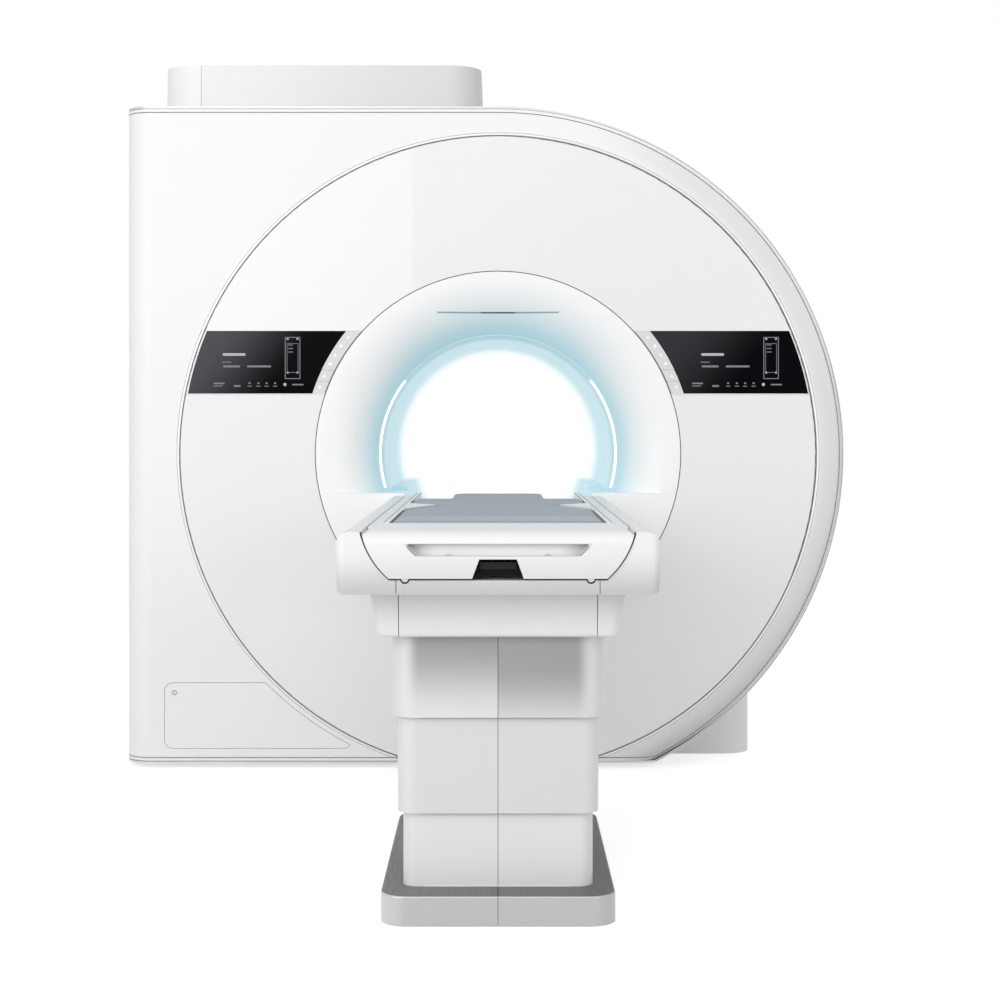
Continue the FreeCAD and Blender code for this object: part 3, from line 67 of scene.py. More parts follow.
FRONT_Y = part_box("disc_fascia")[0].y
MOUTH_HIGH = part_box("bore_mouth")[1]
MOUTH_RADIUS = MOUTH_HIGH.x
BORE_Z = MOUTH_HIGH.z - MOUTH_RADIUS
DISC_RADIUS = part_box("disc_fascia")[1].x
RING_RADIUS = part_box("disc_trim_ring")[1].x
COVER_LOW, COVER_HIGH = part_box("front_body_cover")
COVER_RADIUS = COVER_HIGH.x
DISPLAY_LOW, DISPLAY_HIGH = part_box("display_right")
ARC_RADIUS, ARC_OUTER = 0.389, 0.394  # middle and outer edge of the arcs of light
ARC_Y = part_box("light_arc_left")[0].y
ARC_TOP = math.asin((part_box("light_arc_left")[1].z - BORE_Z) / ARC_OUTER)
NOSE_LOW, NOSE_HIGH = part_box("cradle_nose")
COLUMN_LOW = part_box("lower_column_left")[0]
BASE_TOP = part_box("base_cover_left")[1].z
TRAY_FOOT = 0.7435  # lower edge of the tray's rim
COLUMN_ROUND = 0.058  # corner radius of the lower column cover
COLUMN_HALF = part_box("upper_column_right")[1].x
FOOT_Z = COVER_LOW.z
SEAM_ROWS = (-2.340, -2.242)  # places of the mattress's cross seams

# the photograph's camera
CAMERA_PLACE = Vector((0.0, -6.882, 1.120))
FOCAL_PIXELS = 1893.0
PICTURE_PIXELS = 1000.0
SENSOR_MM = 36.0
VANISHING_PIXEL = (498.0, 421.0)
GANTRY_PIXEL = 495.7  # the gantry's middle in the photograph


def at_pixel(px, py, y, middle=GANTRY_PIXEL):
    """The point of the plane at y that the photograph shows at a pixel, with its middle on X=0."""
    metres = (y - CAMERA_PLACE.y) / FOCAL_PIXELS
    return Vector(((px - middle) * metres, y, CAMERA_PLACE.z - (py - VANISHING_PIXEL[1]) * metres))


# ---- material helpers


def add_node(tree, kind, **settings):
    """A new node with its settings and unlinked inputs."""
    node = tree.nodes.new(kind)
    for key, value in settings.items():
        if hasattr(node, key):
            setattr(node, key, value)
        else:
            node.inputs[key.replace("_", " ")].default_value = value
    return node


class Shader:
    """A Principled material that is built up node by node."""

    def __init__(self, name, colour, roughness, **constants):
        self.material = bpy.data.materials.new(name)
        self.material.use_nodes = True
        self.tree = self.material.node_tree
        self.principled = self.tree.nodes["Principled BSDF"]
        self.principled.inputs["Base Color"].default_value = (*colour, 1.0)
        self.principled.inputs["Roughness"].default_value = roughness
        for socket, value in constants.items():
            self.principled.inputs[socket.replace("_", " ")].default_value = value
        self.material.diffuse_color = (*colour, 1.0)

    def add(self, kind, **settings):
        """A new node of this material."""
        return add_node(self.tree, kind, **settings)

    def link(self, source, target):
        """Joins an output to an input."""
        self.tree.links.new(source, target)

    def place(self, scale=(1, 1, 1)):
        """Object coordinates, scaled along each axis."""
        coordinates = self.add("ShaderNodeTexCoord")
        mapping = self.add("ShaderNodeMapping", Scale=scale)
        self.link(coordinates.outputs["Object"], mapping.inputs["Vector"])
        return mapping.outputs["Vector"]

    def axis(self, name):
        """One object coordinate, X, Y or Z."""
        parts = self.add("ShaderNodeSeparateXYZ")
        self.link(self.place(), parts.inputs["Vector"])
        return parts.outputs[name]

    def off_middle(self):
        """Distance from the plane through the middle."""
        return self.math("ABSOLUTE", self.axis("X"))

    def bore_distance(self):
        """Distance from the bore's axis."""
        x = self.axis("X")
        z = self.math("SUBTRACT", self.axis("Z"), BORE_Z)
        squares = self.math("ADD", self.math("MULTIPLY", x, x), self.math("MULTIPLY", z, z))
        return self.math("SQRT", squares)

    def math(self, operation, one, two=0.0):
        """One operation on two sockets or numbers."""
        node = self.add("ShaderNodeMath", operation=operation)
        for socket, value in zip(node.inputs, (one, two)):
            if isinstance(value, (int, float)):
                socket.default_value = value
            else:
                self.link(value, socket)
        return node.outputs["Value"]

    def noise(self, scale, detail=3.0, stretch=(1, 1, 1)):
        """Noise fixed to the object, stretched along each axis."""
        node = self.add("ShaderNodeTexNoise", Scale=scale, Detail=detail)
        self.link(self.place(stretch), node.inputs["Vector"])
        return node.outputs["Fac"]

    def ramp_between(self, value, start, end, low=0.0, high=1.0):
        """Smoothly from low at start to high at end."""
        node = self.add(
            "ShaderNodeMapRange", interpolation_type="SMOOTHSTEP",
            From_Min=start, From_Max=end, To_Min=low, To_Max=high,
        )
        self.link(value, node.inputs["Value"])
        return node.outputs["Result"]

    def spread(self, factor, low, high):
        """Spreads the middle of a noise over low to high."""
        node = self.add(
            "ShaderNodeMapRange", interpolation_type="SMOOTHSTEP",
            From_Min=0.2, From_Max=0.8, To_Min=low, To_Max=high,
        )
        self.link(factor, node.inputs["Value"])
        return node.outputs["Result"]

    def clouds(self, low, high):
        """Broad faint clouds between low and high."""
        return self.spread(self.noise(CLOUD_SCALE, 4.0), low, high)

    def mixed(self, factor, one, two):
        """Two colours mixed by a factor; each is a colour or a socket."""
        node = self.add("ShaderNodeMix", data_type="RGBA")
        sockets = [i for i in node.inputs if i.type == "RGBA"]
        for socket, colour in zip(sockets, (one, two)):
            if isinstance(colour, tuple):
                socket.default_value = (*colour, 1.0)
            else:
                self.link(colour, socket)
        self.link(factor, node.inputs["Factor"])
        return next(o for o in node.outputs if o.type == "RGBA")

    def colour_from(self, socket):
        """Takes the base colour from a socket."""
        self.link(socket, self.principled.inputs["Base Color"])

    def toned(self, factor, one, two):
        """Base colour between two colours, with faint clouds in the factor."""
        cloudy = self.math("ADD", factor, self.clouds(-TONE_CLOUDS, TONE_CLOUDS))
        self.colour_from(self.mixed(cloudy, one, two))

    def glow_from(self, socket):
        """Takes the glow from a socket."""
        self.link(socket, self.principled.inputs["Emission Color"])
        self.principled.inputs["Emission Strength"].default_value = 1.0

    def vary_roughness(self, factor, low, high):
        """Roughness that wanders between low and high with a noise."""
        self.link(self.spread(factor, low, high), self.principled.inputs["Roughness"])

    def bump(self, height, distance, strength=1.0):
        """Relief of a height socket, distance deep."""
        node = self.add("ShaderNodeBump", Distance=distance, Strength=strength)
        self.link(height, node.inputs["Height"])
        self.link(node.outputs["Normal"], self.principled.inputs["Normal"])


CLOUD_SCALE = 2.2
TONE_CLOUDS = 0.02


def shade(colour, amount):
    """The same colour, lighter or darker."""
    return tuple(min(1.0, channel * amount) for channel in colour)


def moulded(name, colour, roughness, grain=900.0, depth=0.00003, **constants):
    """Moulded or painted cover: faint cloudiness and a fine skin."""
    shader = Shader(name, colour, roughness, **constants)
    clouds = shader.clouds(0.0, 1.0)
    shader.colour_from(shader.mixed(clouds, shade(colour, 0.985), colour))
    shader.vary_roughness(shader.noise(14.0, 5.0), roughness * 0.9, roughness * 1.1)
    shader.bump(shader.noise(grain, 2.0), depth, 0.4)
    return shader


# ---- materials

PANEL_WHITE = (0.885, 0.885, 0.885)
DISC_WHITE = (0.845, 0.845, 0.845)
# table and column whites: their own tone, lowered further as painted shade for the light that falls
# on the table and under the tray
TABLE_SHADED_WHITE = (0.78, 0.78, 0.78)
COLUMN_SHADED_WHITE = (0.72, 0.72, 0.72)
MOUTH_WHITE = (0.885, 0.887, 0.888)
# painted light: blue tint and glow of the throat, and painted glows of the bore liner and the
# mouth's rim
THROAT_PAINTED_BLUE = (0.43, 0.57, 0.615)
THROAT_GLOW = (0.150, 0.220, 0.240)
LINER_GLOW = (0.25, 0.25, 0.25)
RIM_GLOW = (0.045, 0.045, 0.045)
BLACK = (0.0, 0.0, 0.0)
SCREEN_BODY = (0.02, 0.02, 0.022)

# places along the bore between which the mouth takes on painted blue light of the arcs, and the
# bore turns white again with a painted glow
BLUE_START, BLUE_FULL = FRONT_Y + 0.010, FRONT_Y + 0.125
WHITE_START, WHITE_FULL = 0.02, 0.72
# heights between which the painted blue light reaches further out
TOP_START, TOP_FULL = BORE_Z + 0.22, BORE_Z + 0.42  # heights between which the blue reaches out
TOP_REACH = 0.020


def glow_material():
    """White mouth whose throat has the arcs' blue light painted in as a blue tint and a glow, with
    a painted glow that brightens the bore behind it.
    """
    shader = moulded("mouth_white", MOUTH_WHITE, 0.34)
    raised = shader.ramp_between(shader.axis("Z"), TOP_START, TOP_FULL, 0.0, TOP_REACH)
    depth = shader.math("ADD", shader.axis("Y"), raised)
    entry = shader.ramp_between(depth, BLUE_START, BLUE_FULL)
    bore = shader.ramp_between(depth, WHITE_START, WHITE_FULL)
    # painted light: the colour turns blue where the arcs light the throat, and white again in the
    # bore
    colour = shader.mixed(entry, MOUTH_WHITE, THROAT_PAINTED_BLUE)
    shader.colour_from(shader.mixed(bore, colour, MOUTH_WHITE))
    # painted glow: faint at the rim, blue in the throat, white in the bore
    glow = shader.mixed(entry, RIM_GLOW, THROAT_GLOW)
    shader.glow_from(shader.mixed(bore, glow, LINER_GLOW))
    return shader.material


def lit_material(name, colour, strength, body=None):
    """Something that shines; body is the colour of its unlit surface."""
    shader = Shader(name, body or colour, 0.4)
    shader.principled.inputs["Emission Color"].default_value = (*colour, 1.0)
    shader.principled.inputs["Emission Strength"].default_value = strength
    shader.vary_roughness(shader.noise(60.0), 0.35, 0.45)
    return shader.material


def ring_metal(name, inner, outer):
    """Polished trim round the bore axis, darker along both edges."""
    shader = Shader(name, (0.78, 0.785, 0.79), 0.3, Metallic=0.35)
    middle = (inner + outer) / 2
    half = (outer - inner) / 2
    off_middle = shader.math("ABSOLUTE", shader.math("SUBTRACT", shader.bore_distance(), middle))
    edge = shader.ramp_between(off_middle, half * 0.35, half * 0.9)
    shader.colour_from(shader.mixed(edge, (0.80, 0.805, 0.81), (0.30, 0.305, 0.31)))
    shader.vary_roughness(shader.noise(5.0), 0.29, 0.34)
    return shader.material


def trim_metal():
    """Bright strip with a soft satin."""
    shader = Shader("trim_metal", (0.66, 0.665, 0.67), 0.3, Metallic=0.4)
    satin = shader.noise(3.0, 2.0)
    shader.colour_from(shader.mixed(satin, (0.62, 0.625, 0.63), (0.70, 0.705, 0.71)))
    shader.vary_roughness(satin, 0.29, 0.36)
    return shader.material


# painted shade across the base's top, and a painted highlight on its left front corner
BASE_PAINTED_SHADE_HALF = 0.28  # the top darkens from left to right between these places
BASE_PAINTED_HIGHLIGHT = (-0.27, -0.20)  # the bright left corner ends between these places


def base_metal():
    """Satin metal of the base: a brushed top painted dark as shade and dark reflection under the
    table, darker still towards the right, and a pale front with a painted highlight on its left
    corner.
    """
    shader = Shader("base_metal", (0.62, 0.63, 0.64), 0.34, Metallic=0.6)
    lines = shader.noise(300.0, 3.0, (1.0, 0.04, 1.0))
    height = shader.axis("Z")
    top = shader.ramp_between(height, BASE_TOP - 0.0011, BASE_TOP - 0.0002)
    side = shader.mixed(lines, (0.40, 0.40, 0.405), (0.48, 0.48, 0.485))
    # painted shade: the top is dark and darkens further towards the right
    across = shader.ramp_between(shader.axis("X"), -BASE_PAINTED_SHADE_HALF, BASE_PAINTED_SHADE_HALF)
    painted_shade_top = shader.mixed(across, (0.165, 0.17, 0.175), (0.085, 0.088, 0.092))
    dark = shader.mixed(lines, painted_shade_top, (0.15, 0.155, 0.16))
    # painted highlight: the left front corner turns bright
    corner = shader.ramp_between(shader.axis("X"), *BASE_PAINTED_HIGHLIGHT)
    side = shader.mixed(corner, (0.58, 0.58, 0.585), side)
    shader.colour_from(shader.mixed(top, side, dark))
    shader.vary_roughness(lines, 0.30, 0.40)
    shader.bump(lines, 0.00002, 0.3)
    return shader.material


def fabric_material():
    """Coated blue-grey fabric with a fine woven skin, lighter in the front section."""
    shader = Shader("mattress_fabric", (0.32, 0.375, 0.43), 0.6)
    shader.principled.inputs["Sheen Weight"].default_value = 0.2
    shader.principled.inputs["Sheen Roughness"].default_value = 0.4
    clouds = shader.spread(shader.noise(5.0, 5.0), 0.0, 1.0)
    rear = shader.mixed(clouds, (0.210, 0.262, 0.312), (0.235, 0.287, 0.337))
    front = shader.mixed(clouds, (0.262, 0.315, 0.355), (0.292, 0.345, 0.385))
    section = shader.ramp_between(shader.axis("Y"), SEAM_ROWS[0] - 0.004, SEAM_ROWS[0] + 0.004)
    shader.colour_from(shader.mixed(section, front, rear))
    waves = []
    for direction in ("X", "Y"):
        wave = shader.add("ShaderNodeTexWave", Scale=150.0, bands_direction=direction)
        shader.link(shader.place(), wave.inputs["Vector"])
        waves.append(wave.outputs["Fac"])
    shader.bump(shader.math("MULTIPLY", *waves), 0.0003, 0.6)
    shader.vary_roughness(shader.noise(30.0), 0.52, 0.68)
    return shader.material


def glass_black(name, low, high, reflection_strength):
    """Dark display glass with a painted reflection: a glow that fades from the upper left."""
    shader = Shader(name, (0.0015, 0.0015, 0.002), 0.09, Specular_IOR_Level=0.02)
    across = shader.math("DIVIDE", shader.math("SUBTRACT", shader.axis("X"), low.x), high.x - low.x)
    down = shader.math("DIVIDE", shader.math("SUBTRACT", high.z, shader.axis("Z")), high.z - low.z)
    diagonal = shader.math("ADD", across, shader.math("MULTIPLY", down, 0.30))
    faded = shader.ramp_between(diagonal, 0.18, 0.82)
    cloud = shader.math("ADD", 0.9, shader.math("MULTIPLY", shader.noise(9.0, 2.0), 0.2))
    # painted reflection of the lit panel, brightest at the upper left
    glow = shader.mixed(faded, shade((0.080, 0.081, 0.090), reflection_strength), (0.0008, 0.0008, 0.0016))
    tone = shader.mixed(cloud, BLACK, glow)
    shader.glow_from(tone)
    shader.vary_roughness(shader.noise(40.0), 0.07, 0.11)
    return shader.material


SLIT_DARK = (0.050, 0.062)  # the dark middle of the slit ends between these places


def slit_material():
    """Dark slit, bluish towards its ends."""
    shader = Shader("slit_window", (0.2, 0.3, 0.33), 0.3)
    ends = shader.ramp_between(shader.off_middle(), *SLIT_DARK)
    cloud = shader.noise(20.0)
    middle = shader.mixed(cloud, (0.10, 0.11, 0.115), (0.14, 0.15, 0.155))
    shader.colour_from(shader.mixed(ends, middle, (0.28, 0.44, 0.50)))
    shader.vary_roughness(cloud, 0.29, 0.38)
    return shader.material


CROWN_OVERLAP = 0.03
CROWN_SIDE = (0.05, 0.60)  # the crown grows towards the round side between these places
CROWN_DEPTH = 0.045


def front_paint():
    """Cover paint whose round side is crowned back beside the disc."""
    shader = moulded("front_cover_paint", PANEL_WHITE, 0.42)
    start, end = RING_RADIUS - CROWN_OVERLAP, COVER_RADIUS + CROWN_OVERLAP
    crown = shader.ramp_between(shader.bore_distance(), start, end, 1.0, 0.0)
    side = shader.ramp_between(shader.axis("X"), *CROWN_SIDE)
    shader.bump(shader.math("MULTIPLY", crown, side), CROWN_DEPTH, 1.0)
    return shader.material


# the painted shade on the column's face ends between these places, leaving its round corners bright
COLUMN_SHADE_EDGE = (COLUMN_HALF - 0.066, COLUMN_HALF - 0.026)  # where the grey of the face ends


def column_shade_paint(name, start, end, depth=0.9):
    """Column paint with painted shade: it greys with height from start to end under the table,
    between its bright round corners.
    """
    shader = moulded(name, COLUMN_SHADED_WHITE, 0.4)
    under = shader.ramp_between(shader.axis("Z"), start, end, 0.0, depth)
    face = shader.ramp_between(shader.off_middle(), *COLUMN_SHADE_EDGE, 1.0, 0.0)
    amount = shader.math("ADD", shader.clouds(0.0, 0.05), shader.math("MULTIPLY", under, face))
    shader.colour_from(shader.mixed(amount, COLUMN_SHADED_WHITE, shade(COLUMN_SHADED_WHITE, 0.40)))
    return shader.material


# painted shade: the tray's rim greys towards its lower edge, and the set-back box below it greys
# towards the tray
TRAY_RIM_SHADE = (0.725, 0.850)  # heights between which the tray's rim grows lighter
BOX_SHADE = (TRAY_FOOT - 0.090, TRAY_FOOT + 0.002)
BOX_SHADE_CUT = (TRAY_FOOT - 0.004, TRAY_FOOT - 0.001)
# painted shade on the handle end, towards its lower edge
NOSE_SHADE = (0.765, 0.850)
# painted shade towards both ends of the handle recess
SCOOP_SHADE = (0.130, 0.198)
# painted shade across the cap, growing towards the arc
CAP_SHADE = (-1.05, -0.05)


def tray_shade_paint():
    """Table shell with painted shade: its rim greys towards its lower edge, and the set-back box
    below greys towards the tray above it.
    """
    shader = moulded("tray_shell", TABLE_SHADED_WHITE, 0.34)
    z = shader.axis("Z")
    rim = shader.ramp_between(z, *TRAY_RIM_SHADE)
    box = shader.ramp_between(z, *BOX_SHADE, 1.0, 0.80)
    lower = shader.ramp_between(z, *BOX_SHADE_CUT, 1.0, 0.0)
    tone = shader.math("MAXIMUM", rim, shader.math("MULTIPLY", box, lower))
    shader.toned(tone, shade(TABLE_SHADED_WHITE, 0.60), TABLE_SHADED_WHITE)
    return shader.material


def nose_shade_paint():
    """Table shell of the handle end, with painted shade that makes it a little greyer towards its
    lower edge.
    """
    shader = moulded("nose_shell", TABLE_SHADED_WHITE, 0.34)
    height = shader.ramp_between(shader.axis("Z"), *NOSE_SHADE)
    shader.toned(height, shade(TABLE_SHADED_WHITE, 0.84), TABLE_SHADED_WHITE)
    return shader.material


def scoop_shade_paint():
    """Table shell with painted shade that greys it towards both ends of the handle recess."""
    shader = moulded("scoop_shell", TABLE_SHADED_WHITE, 0.34)
    ends = shader.ramp_between(shader.off_middle(), *SCOOP_SHADE, 0.0, 0.85)
    shader.toned(ends, TABLE_SHADED_WHITE, shade(TABLE_SHADED_WHITE, 0.48))
    return shader.material


def cap_shade_paint():
    """Cover paint of the cap with painted shade: a little grey overall and greyer towards the arc.
    """
    shader = moulded("cap_shade_paint", PANEL_WHITE, 0.42)
    across = shader.ramp_between(shader.axis("X"), *CAP_SHADE)
    shader.toned(across, shade(PANEL_WHITE, 0.95), shade(PANEL_WHITE, 0.78))
    return shader.material


def material_for_slots():
    """One finished material for each material slot of the record."""
    return {
        "cover_white": moulded("cover_paint", PANEL_WHITE, 0.42).material,
        "disc_gloss": moulded(
            "disc_lacquer", DISC_WHITE, 0.35, 500.0, 0.000004,
            Coat_Weight=0.9, Coat_Roughness=0.02,
        ).material,
        "bore_plastic": glow_material(),
        "table_white": moulded("table_shell", TABLE_SHADED_WHITE, 0.34).material,
        "column_white": moulded("column_paint", COLUMN_SHADED_WHITE, 0.4).material,
        "base_silver": base_metal(),
        "trim_bright": trim_metal(),
        "seal_dark": moulded("seal_rubber", (0.10, 0.10, 0.105), 0.7, 600.0, 0.0001).material,
        "window_dark": slit_material(),
        "light_arc": lit_material("arc_light", (0.95, 0.99, 1.0), 1.2),
        # display glass with a painted reflection, weaker than on the left display
        "display_black": glass_black("display_glass", *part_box("display_right"), 0.42),
        "key_grey": moulded("key_strip", (0.71, 0.712, 0.712), 0.4).material,
        "glide_plastic": moulded("glide_strip", (0.78, 0.78, 0.76), 0.5).material,
        "mattress_blue": fabric_material(),
        "release_black": moulded(
            "release_plastic", (0.005, 0.005, 0.006), 0.45, Specular_IOR_Level=0.25,
        ).material,
        "steel": moulded("base_steel", (0.45, 0.46, 0.48), 0.5).material,
        "vessel": moulded("vessel_paint", (0.74, 0.75, 0.76), 0.5).material,
        "coil_resin": moulded("coil_resin", (0.70, 0.60, 0.38), 0.55).material,
    }


def dress_nodes(materials):
    """Gives every CAD node the material of its slot."""
    tray = tray_shade_paint()
    # painted shade: a little grey on the middle column's face, more under the table on the upper
    # column
    middle = column_shade_paint("middle_column_paint", 0.0, 0.05, 0.15)
    own = {
        "front_body_cover": front_paint(),
        "top_cap": cap_shade_paint(),
        "upper_column_left": column_shade_paint("upper_column_paint", 0.44, 0.62),
        "upper_column_right": column_shade_paint("upper_column_paint_right", 0.40, 0.57),
        "middle_column_left": middle,
        "middle_column_right": middle,
        "cradle_nose": nose_shade_paint(),
        "tray_cover": tray,
        "side_cover_left": tray,
        "side_cover_right": tray,
        # the left display's painted reflection is at full strength
        "display_left": glass_black("display_glass_left", *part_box("display_left"), 1.0),
        "disc_trim_ring": ring_metal("disc_ring_metal", DISC_RADIUS, RING_RADIUS),
    }
    for row in frame["record"]["subparts"]:
        data = nodes[row["node"]].data
        data.materials.clear()
        data.materials.append(own.get(row["node"], materials[row["material_slot"]]))


# ---- piece helpers

# radii of the beads that draw joints and edges
SILL_BEAD = 0.0021
DISC_BEAD = 0.0012
CONTOUR_BEAD = 0.0013
KEY_BEAD = 0.0007
STRIP_BEAD = 0.0016
CHANNEL_BEAD = 0.0016
LOCK_BEAD = 0.0009
FOOT_BEAD = 0.0016
# painted shadow line under the moving column covers
LIP_SHADOW_BEAD = 0.0017
RIM_BEAD = 0.0008
HULL_BEAD = 0.0019
# dark lines on the rails, partly painted shade
RAIL_SHADE_BEAD = 0.0010
SEAM_BEAD = 0.0014


def finished(thing, material, slot, body):
    """Links an object to the scene with its finish and the body that it rides on."""
    bpy.context.scene.collection.objects.link(thing)
    thing.data.materials.append(material)
    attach(thing, body)
    return thing


def tube(name, points, radius, look, body, cyclic=False, sides=3):
    """A round bead along points. look is (material, slot)."""
    curve = bpy.data.curves.new(name, "CURVE")
    curve.dimensions = "3D"
    curve.bevel_depth = radius
    curve.bevel_resolution = sides
    curve.use_fill_caps = True
    line = curve.splines.new("POLY")
    line.points.add(len(points) - 1)
    for point, place in zip(line.points, points):
        point.co = (*place, 1.0)
    line.use_cyclic_u = cyclic
    return finished(bpy.data.objects.new(name, curve), *look, body)


def arc(radius, start, end, y, steps=160):
    """Points round the bore axis, angles from +X towards +Z."""
    turns = [start + (end - start) * i / steps for i in range(steps + 1)]
    return [
        Vector((radius * math.cos(t), y, BORE_Z + radius * math.sin(t))) for t in turns
    ]


def add_plate(shape, corners, front, back):
    """A flat plate with a polygon outline of (x, z) corners, from front to back."""
    front_ring = [shape.verts.new((x, front, z)) for x, z in corners]
    back_ring = [shape.verts.new((x, back, z)) for x, z in corners]
    shape.faces.new(front_ring)
    shape.faces.new(list(reversed(back_ring)))
    for i, corner in enumerate(front_ring):
        j = (i + 1) % len(front_ring)
        shape.faces.new((front_ring[j], corner, back_ring[i], back_ring[j]))


def shape_piece(name, shape, look, body, smooth=False):
    """Turns a bmesh into a piece."""
    bmesh.ops.recalc_face_normals(shape, faces=shape.faces)
    data = bpy.data.meshes.new(name)
    shape.to_mesh(data)
    shape.free()
    for face in data.polygons:
        face.use_smooth = smooth
    return finished(bpy.data.objects.new(name, data), *look, body)


# ---- flat outlines for screens


def round_outline(centre, width, height, radius, steps=4):
    """Corners of a rounded rectangle, anticlockwise."""
    corners = []
    for quarter in range(4):
        sign_x = 1 if quarter in (0, 3) else -1
        sign_z = 1 if quarter in (0, 1) else -1
        middle_x = centre[0] + sign_x * (width / 2 - radius)
        middle_z = centre[1] + sign_z * (height / 2 - radius)
        for step in range(steps + 1):
            turn = math.pi / 2 * (quarter + step / steps)
            corners.append(
                (middle_x + radius * math.cos(turn), middle_z + radius * math.sin(turn))
            )
    return corners


def add_frame(shape, centre, width, height, line, front, back):
    """Four bars round a rectangle."""
    for side in (-1, 1):
        across = (centre[0], centre[1] + side * (height - line) / 2)
        upright = (centre[0] + side * (width - line) / 2, centre[1])
        add_plate(shape, round_outline(across, width, line, line * 0.4), front, back)
        add_plate(shape, round_outline(upright, line, height - line * 2, line * 0.4), front, back)


PIXEL = (FRONT_Y - CAMERA_PLACE.y) / FOCAL_PIXELS  # metres to a pixel at the front plane
GLASS_RISE = 0.0004
TABLE_MARK = (290.3, 358.0)  # middle of the table graphic on the left screen
TABLE_MARK_SIZE = (15.4, 42.0)
SCREEN_SHIFT = 478.5  # left screen to right screen, in pixels

# offsets, widths, heights and corner radii in pixels from the middle of the table graphic
TABLE_ROWS = (-13.0, -9.5, -6.0)
TABLE_BAR = (5.0, 0.9, 0.4)
ICON_COLUMNS = (-43.0, -34.2, -26.0, -17.5)
ICON_ROWS = ((25.2, 2.2, 1.8, 0.8), (28.2, 4.4, 0.8, 0.35))
DIM_BARS = (
    ((-66.0, 4.2), 9.0, 0.9, 0.4), ((-61.0, 8.4), 17.0, 2.0, 0.9), ((-33.5, 8.4), 24.0, 2.0, 0.9),
    ((-73.5, 25.4), 11.0, 1.6, 0.7), ((-55.5, 28.0), 7.0, 1.9, 0.8),
    ((5.2, 26.6), 11.5, 1.4, 0.6), ((-74.5, 28.0), 9.0, 0.9, 0.4),
)
CORNER_MARKS = ((-4.9, -19.0), (-4.9, 14.6), (4.9, -19.0), (4.9, 14.6))
CORNER_MARK = (1.9, 1.9, 0.7)
BRIGHT_MARKS = (((-7.7, 26.5), 3.2, 3.2, 1.59), ((-58.5, -3.5), 23.0, 2.6, 1.2))


def add_mark(shape, mark_x, mark_y, offset, width, height, radius):
    """One rounded bar of the screen, offset in pixels from the table graphic."""
    place = at_pixel(mark_x + offset[0], mark_y + offset[1], FRONT_Y)
    outline = round_outline(
        (place.x, place.z), width * PIXEL, height * PIXEL, radius * PIXEL
    )
    add_plate(shape, outline, FRONT_Y - GLASS_RISE, FRONT_Y + GLASS_RISE)


def screen_graphics(side, shift, bright, dim):
    """Plain generic screen: a table outline, bars, small icons and one round mark."""
    mark_x = TABLE_MARK[0] + shift
    mark_y = TABLE_MARK[1]
    middle = at_pixel(mark_x, mark_y, FRONT_Y)
    centre = (middle.x, middle.z)
    width, height = (value * PIXEL for value in TABLE_MARK_SIZE)
    line = 0.8 * PIXEL
    front, back = FRONT_Y - GLASS_RISE, FRONT_Y + GLASS_RISE
    outlines = bmesh.new()
    add_frame(outlines, centre, width, height, line, front, back)
    add_frame(outlines, centre, width * 0.74, height * 0.70, line * 0.6, front, back)
    for row in TABLE_ROWS:
        add_mark(outlines, mark_x, mark_y, (-2.0, row), *TABLE_BAR)
    for column in ICON_COLUMNS:
        for row, *form in ICON_ROWS:
            add_mark(outlines, mark_x, mark_y, (column, row), *form)
    for offset, *form in DIM_BARS:
        add_mark(outlines, mark_x, mark_y, offset, *form)
    shape_piece("screen_lines_" + side, outlines, dim, "gantry")
    marks = bmesh.new()
    for offset in CORNER_MARKS:
        add_mark(marks, mark_x, mark_y, offset, *CORNER_MARK)
    for offset, *form in BRIGHT_MARKS:
        add_mark(marks, mark_x, mark_y, offset, *form)
    shape_piece("screen_marks_" + side, marks, bright, "gantry")


# ---- marks on the key strips

# left strip, top to bottom, in pixels of the photograph, with the corners of each sign
STRIP_SIGNS = (
    ((345.8, 337.4), 4), ((338.8, 346.1), 12), ((332.8, 355.3), 4), ((328.0, 363.8), 12),
)
KEY_SIGNS = (("upper_key", (322.0, 376.3), 90.0), ("lower_key", (317.4, 387.2), -90.0))
SIGN_RADIUS = 0.0056


def sign_outline(centre, corners, turn=0.0, radius=SIGN_RADIUS):
    """Corners of a small regular sign."""
    start = math.radians(turn)
    return [
        (
            centre[0] + radius * math.cos(start + 2 * math.pi * i / corners),
            centre[1] + radius * math.sin(start + 2 * math.pi * i / corners),
        )
        for i in range(corners)
    ]


def strip_signs(side, sign, look):
    """Plain signs on one key strip: dots and squares, and arrowheads on the push keys."""
    shape = bmesh.new()
    front, back = FRONT_Y - GLASS_RISE, FRONT_Y + GLASS_RISE
    for pixel, corners in STRIP_SIGNS:
        place = at_pixel(*pixel, FRONT_Y)
        add_plate(shape, sign_outline((-sign * place.x, place.z), corners), front, back)
    shape_piece("strip_signs_" + side, shape, look, "gantry")
    for key, pixel, turn in KEY_SIGNS:
        place = at_pixel(*pixel, FRONT_Y)
        shape = bmesh.new()
        centre = (-sign * place.x, place.z)
        add_plate(shape, sign_outline(centre, 3, turn, SIGN_RADIUS * 1.3), front, back)
        shape_piece(f"{key}_sign_{side}", shape, look, f"{key}_{side}")


def display_sill(side, sign, look):
    """Fine light ledge under a display and its key strip."""
    z = DISPLAY_LOW.z - 0.0022
    drop = z - BORE_Z
    inner = math.sqrt((MOUTH_RADIUS + 0.006) ** 2 - drop ** 2)
    outer = math.sqrt((DISC_RADIUS - 0.004) ** 2 - drop ** 2)
    points = [
        (sign * (inner + (outer - inner) * i / 12), FRONT_Y - 0.0002, z) for i in range(13)
    ]
    tube("display_sill_" + side, points, SILL_BEAD, look, "gantry")


# ---- trims


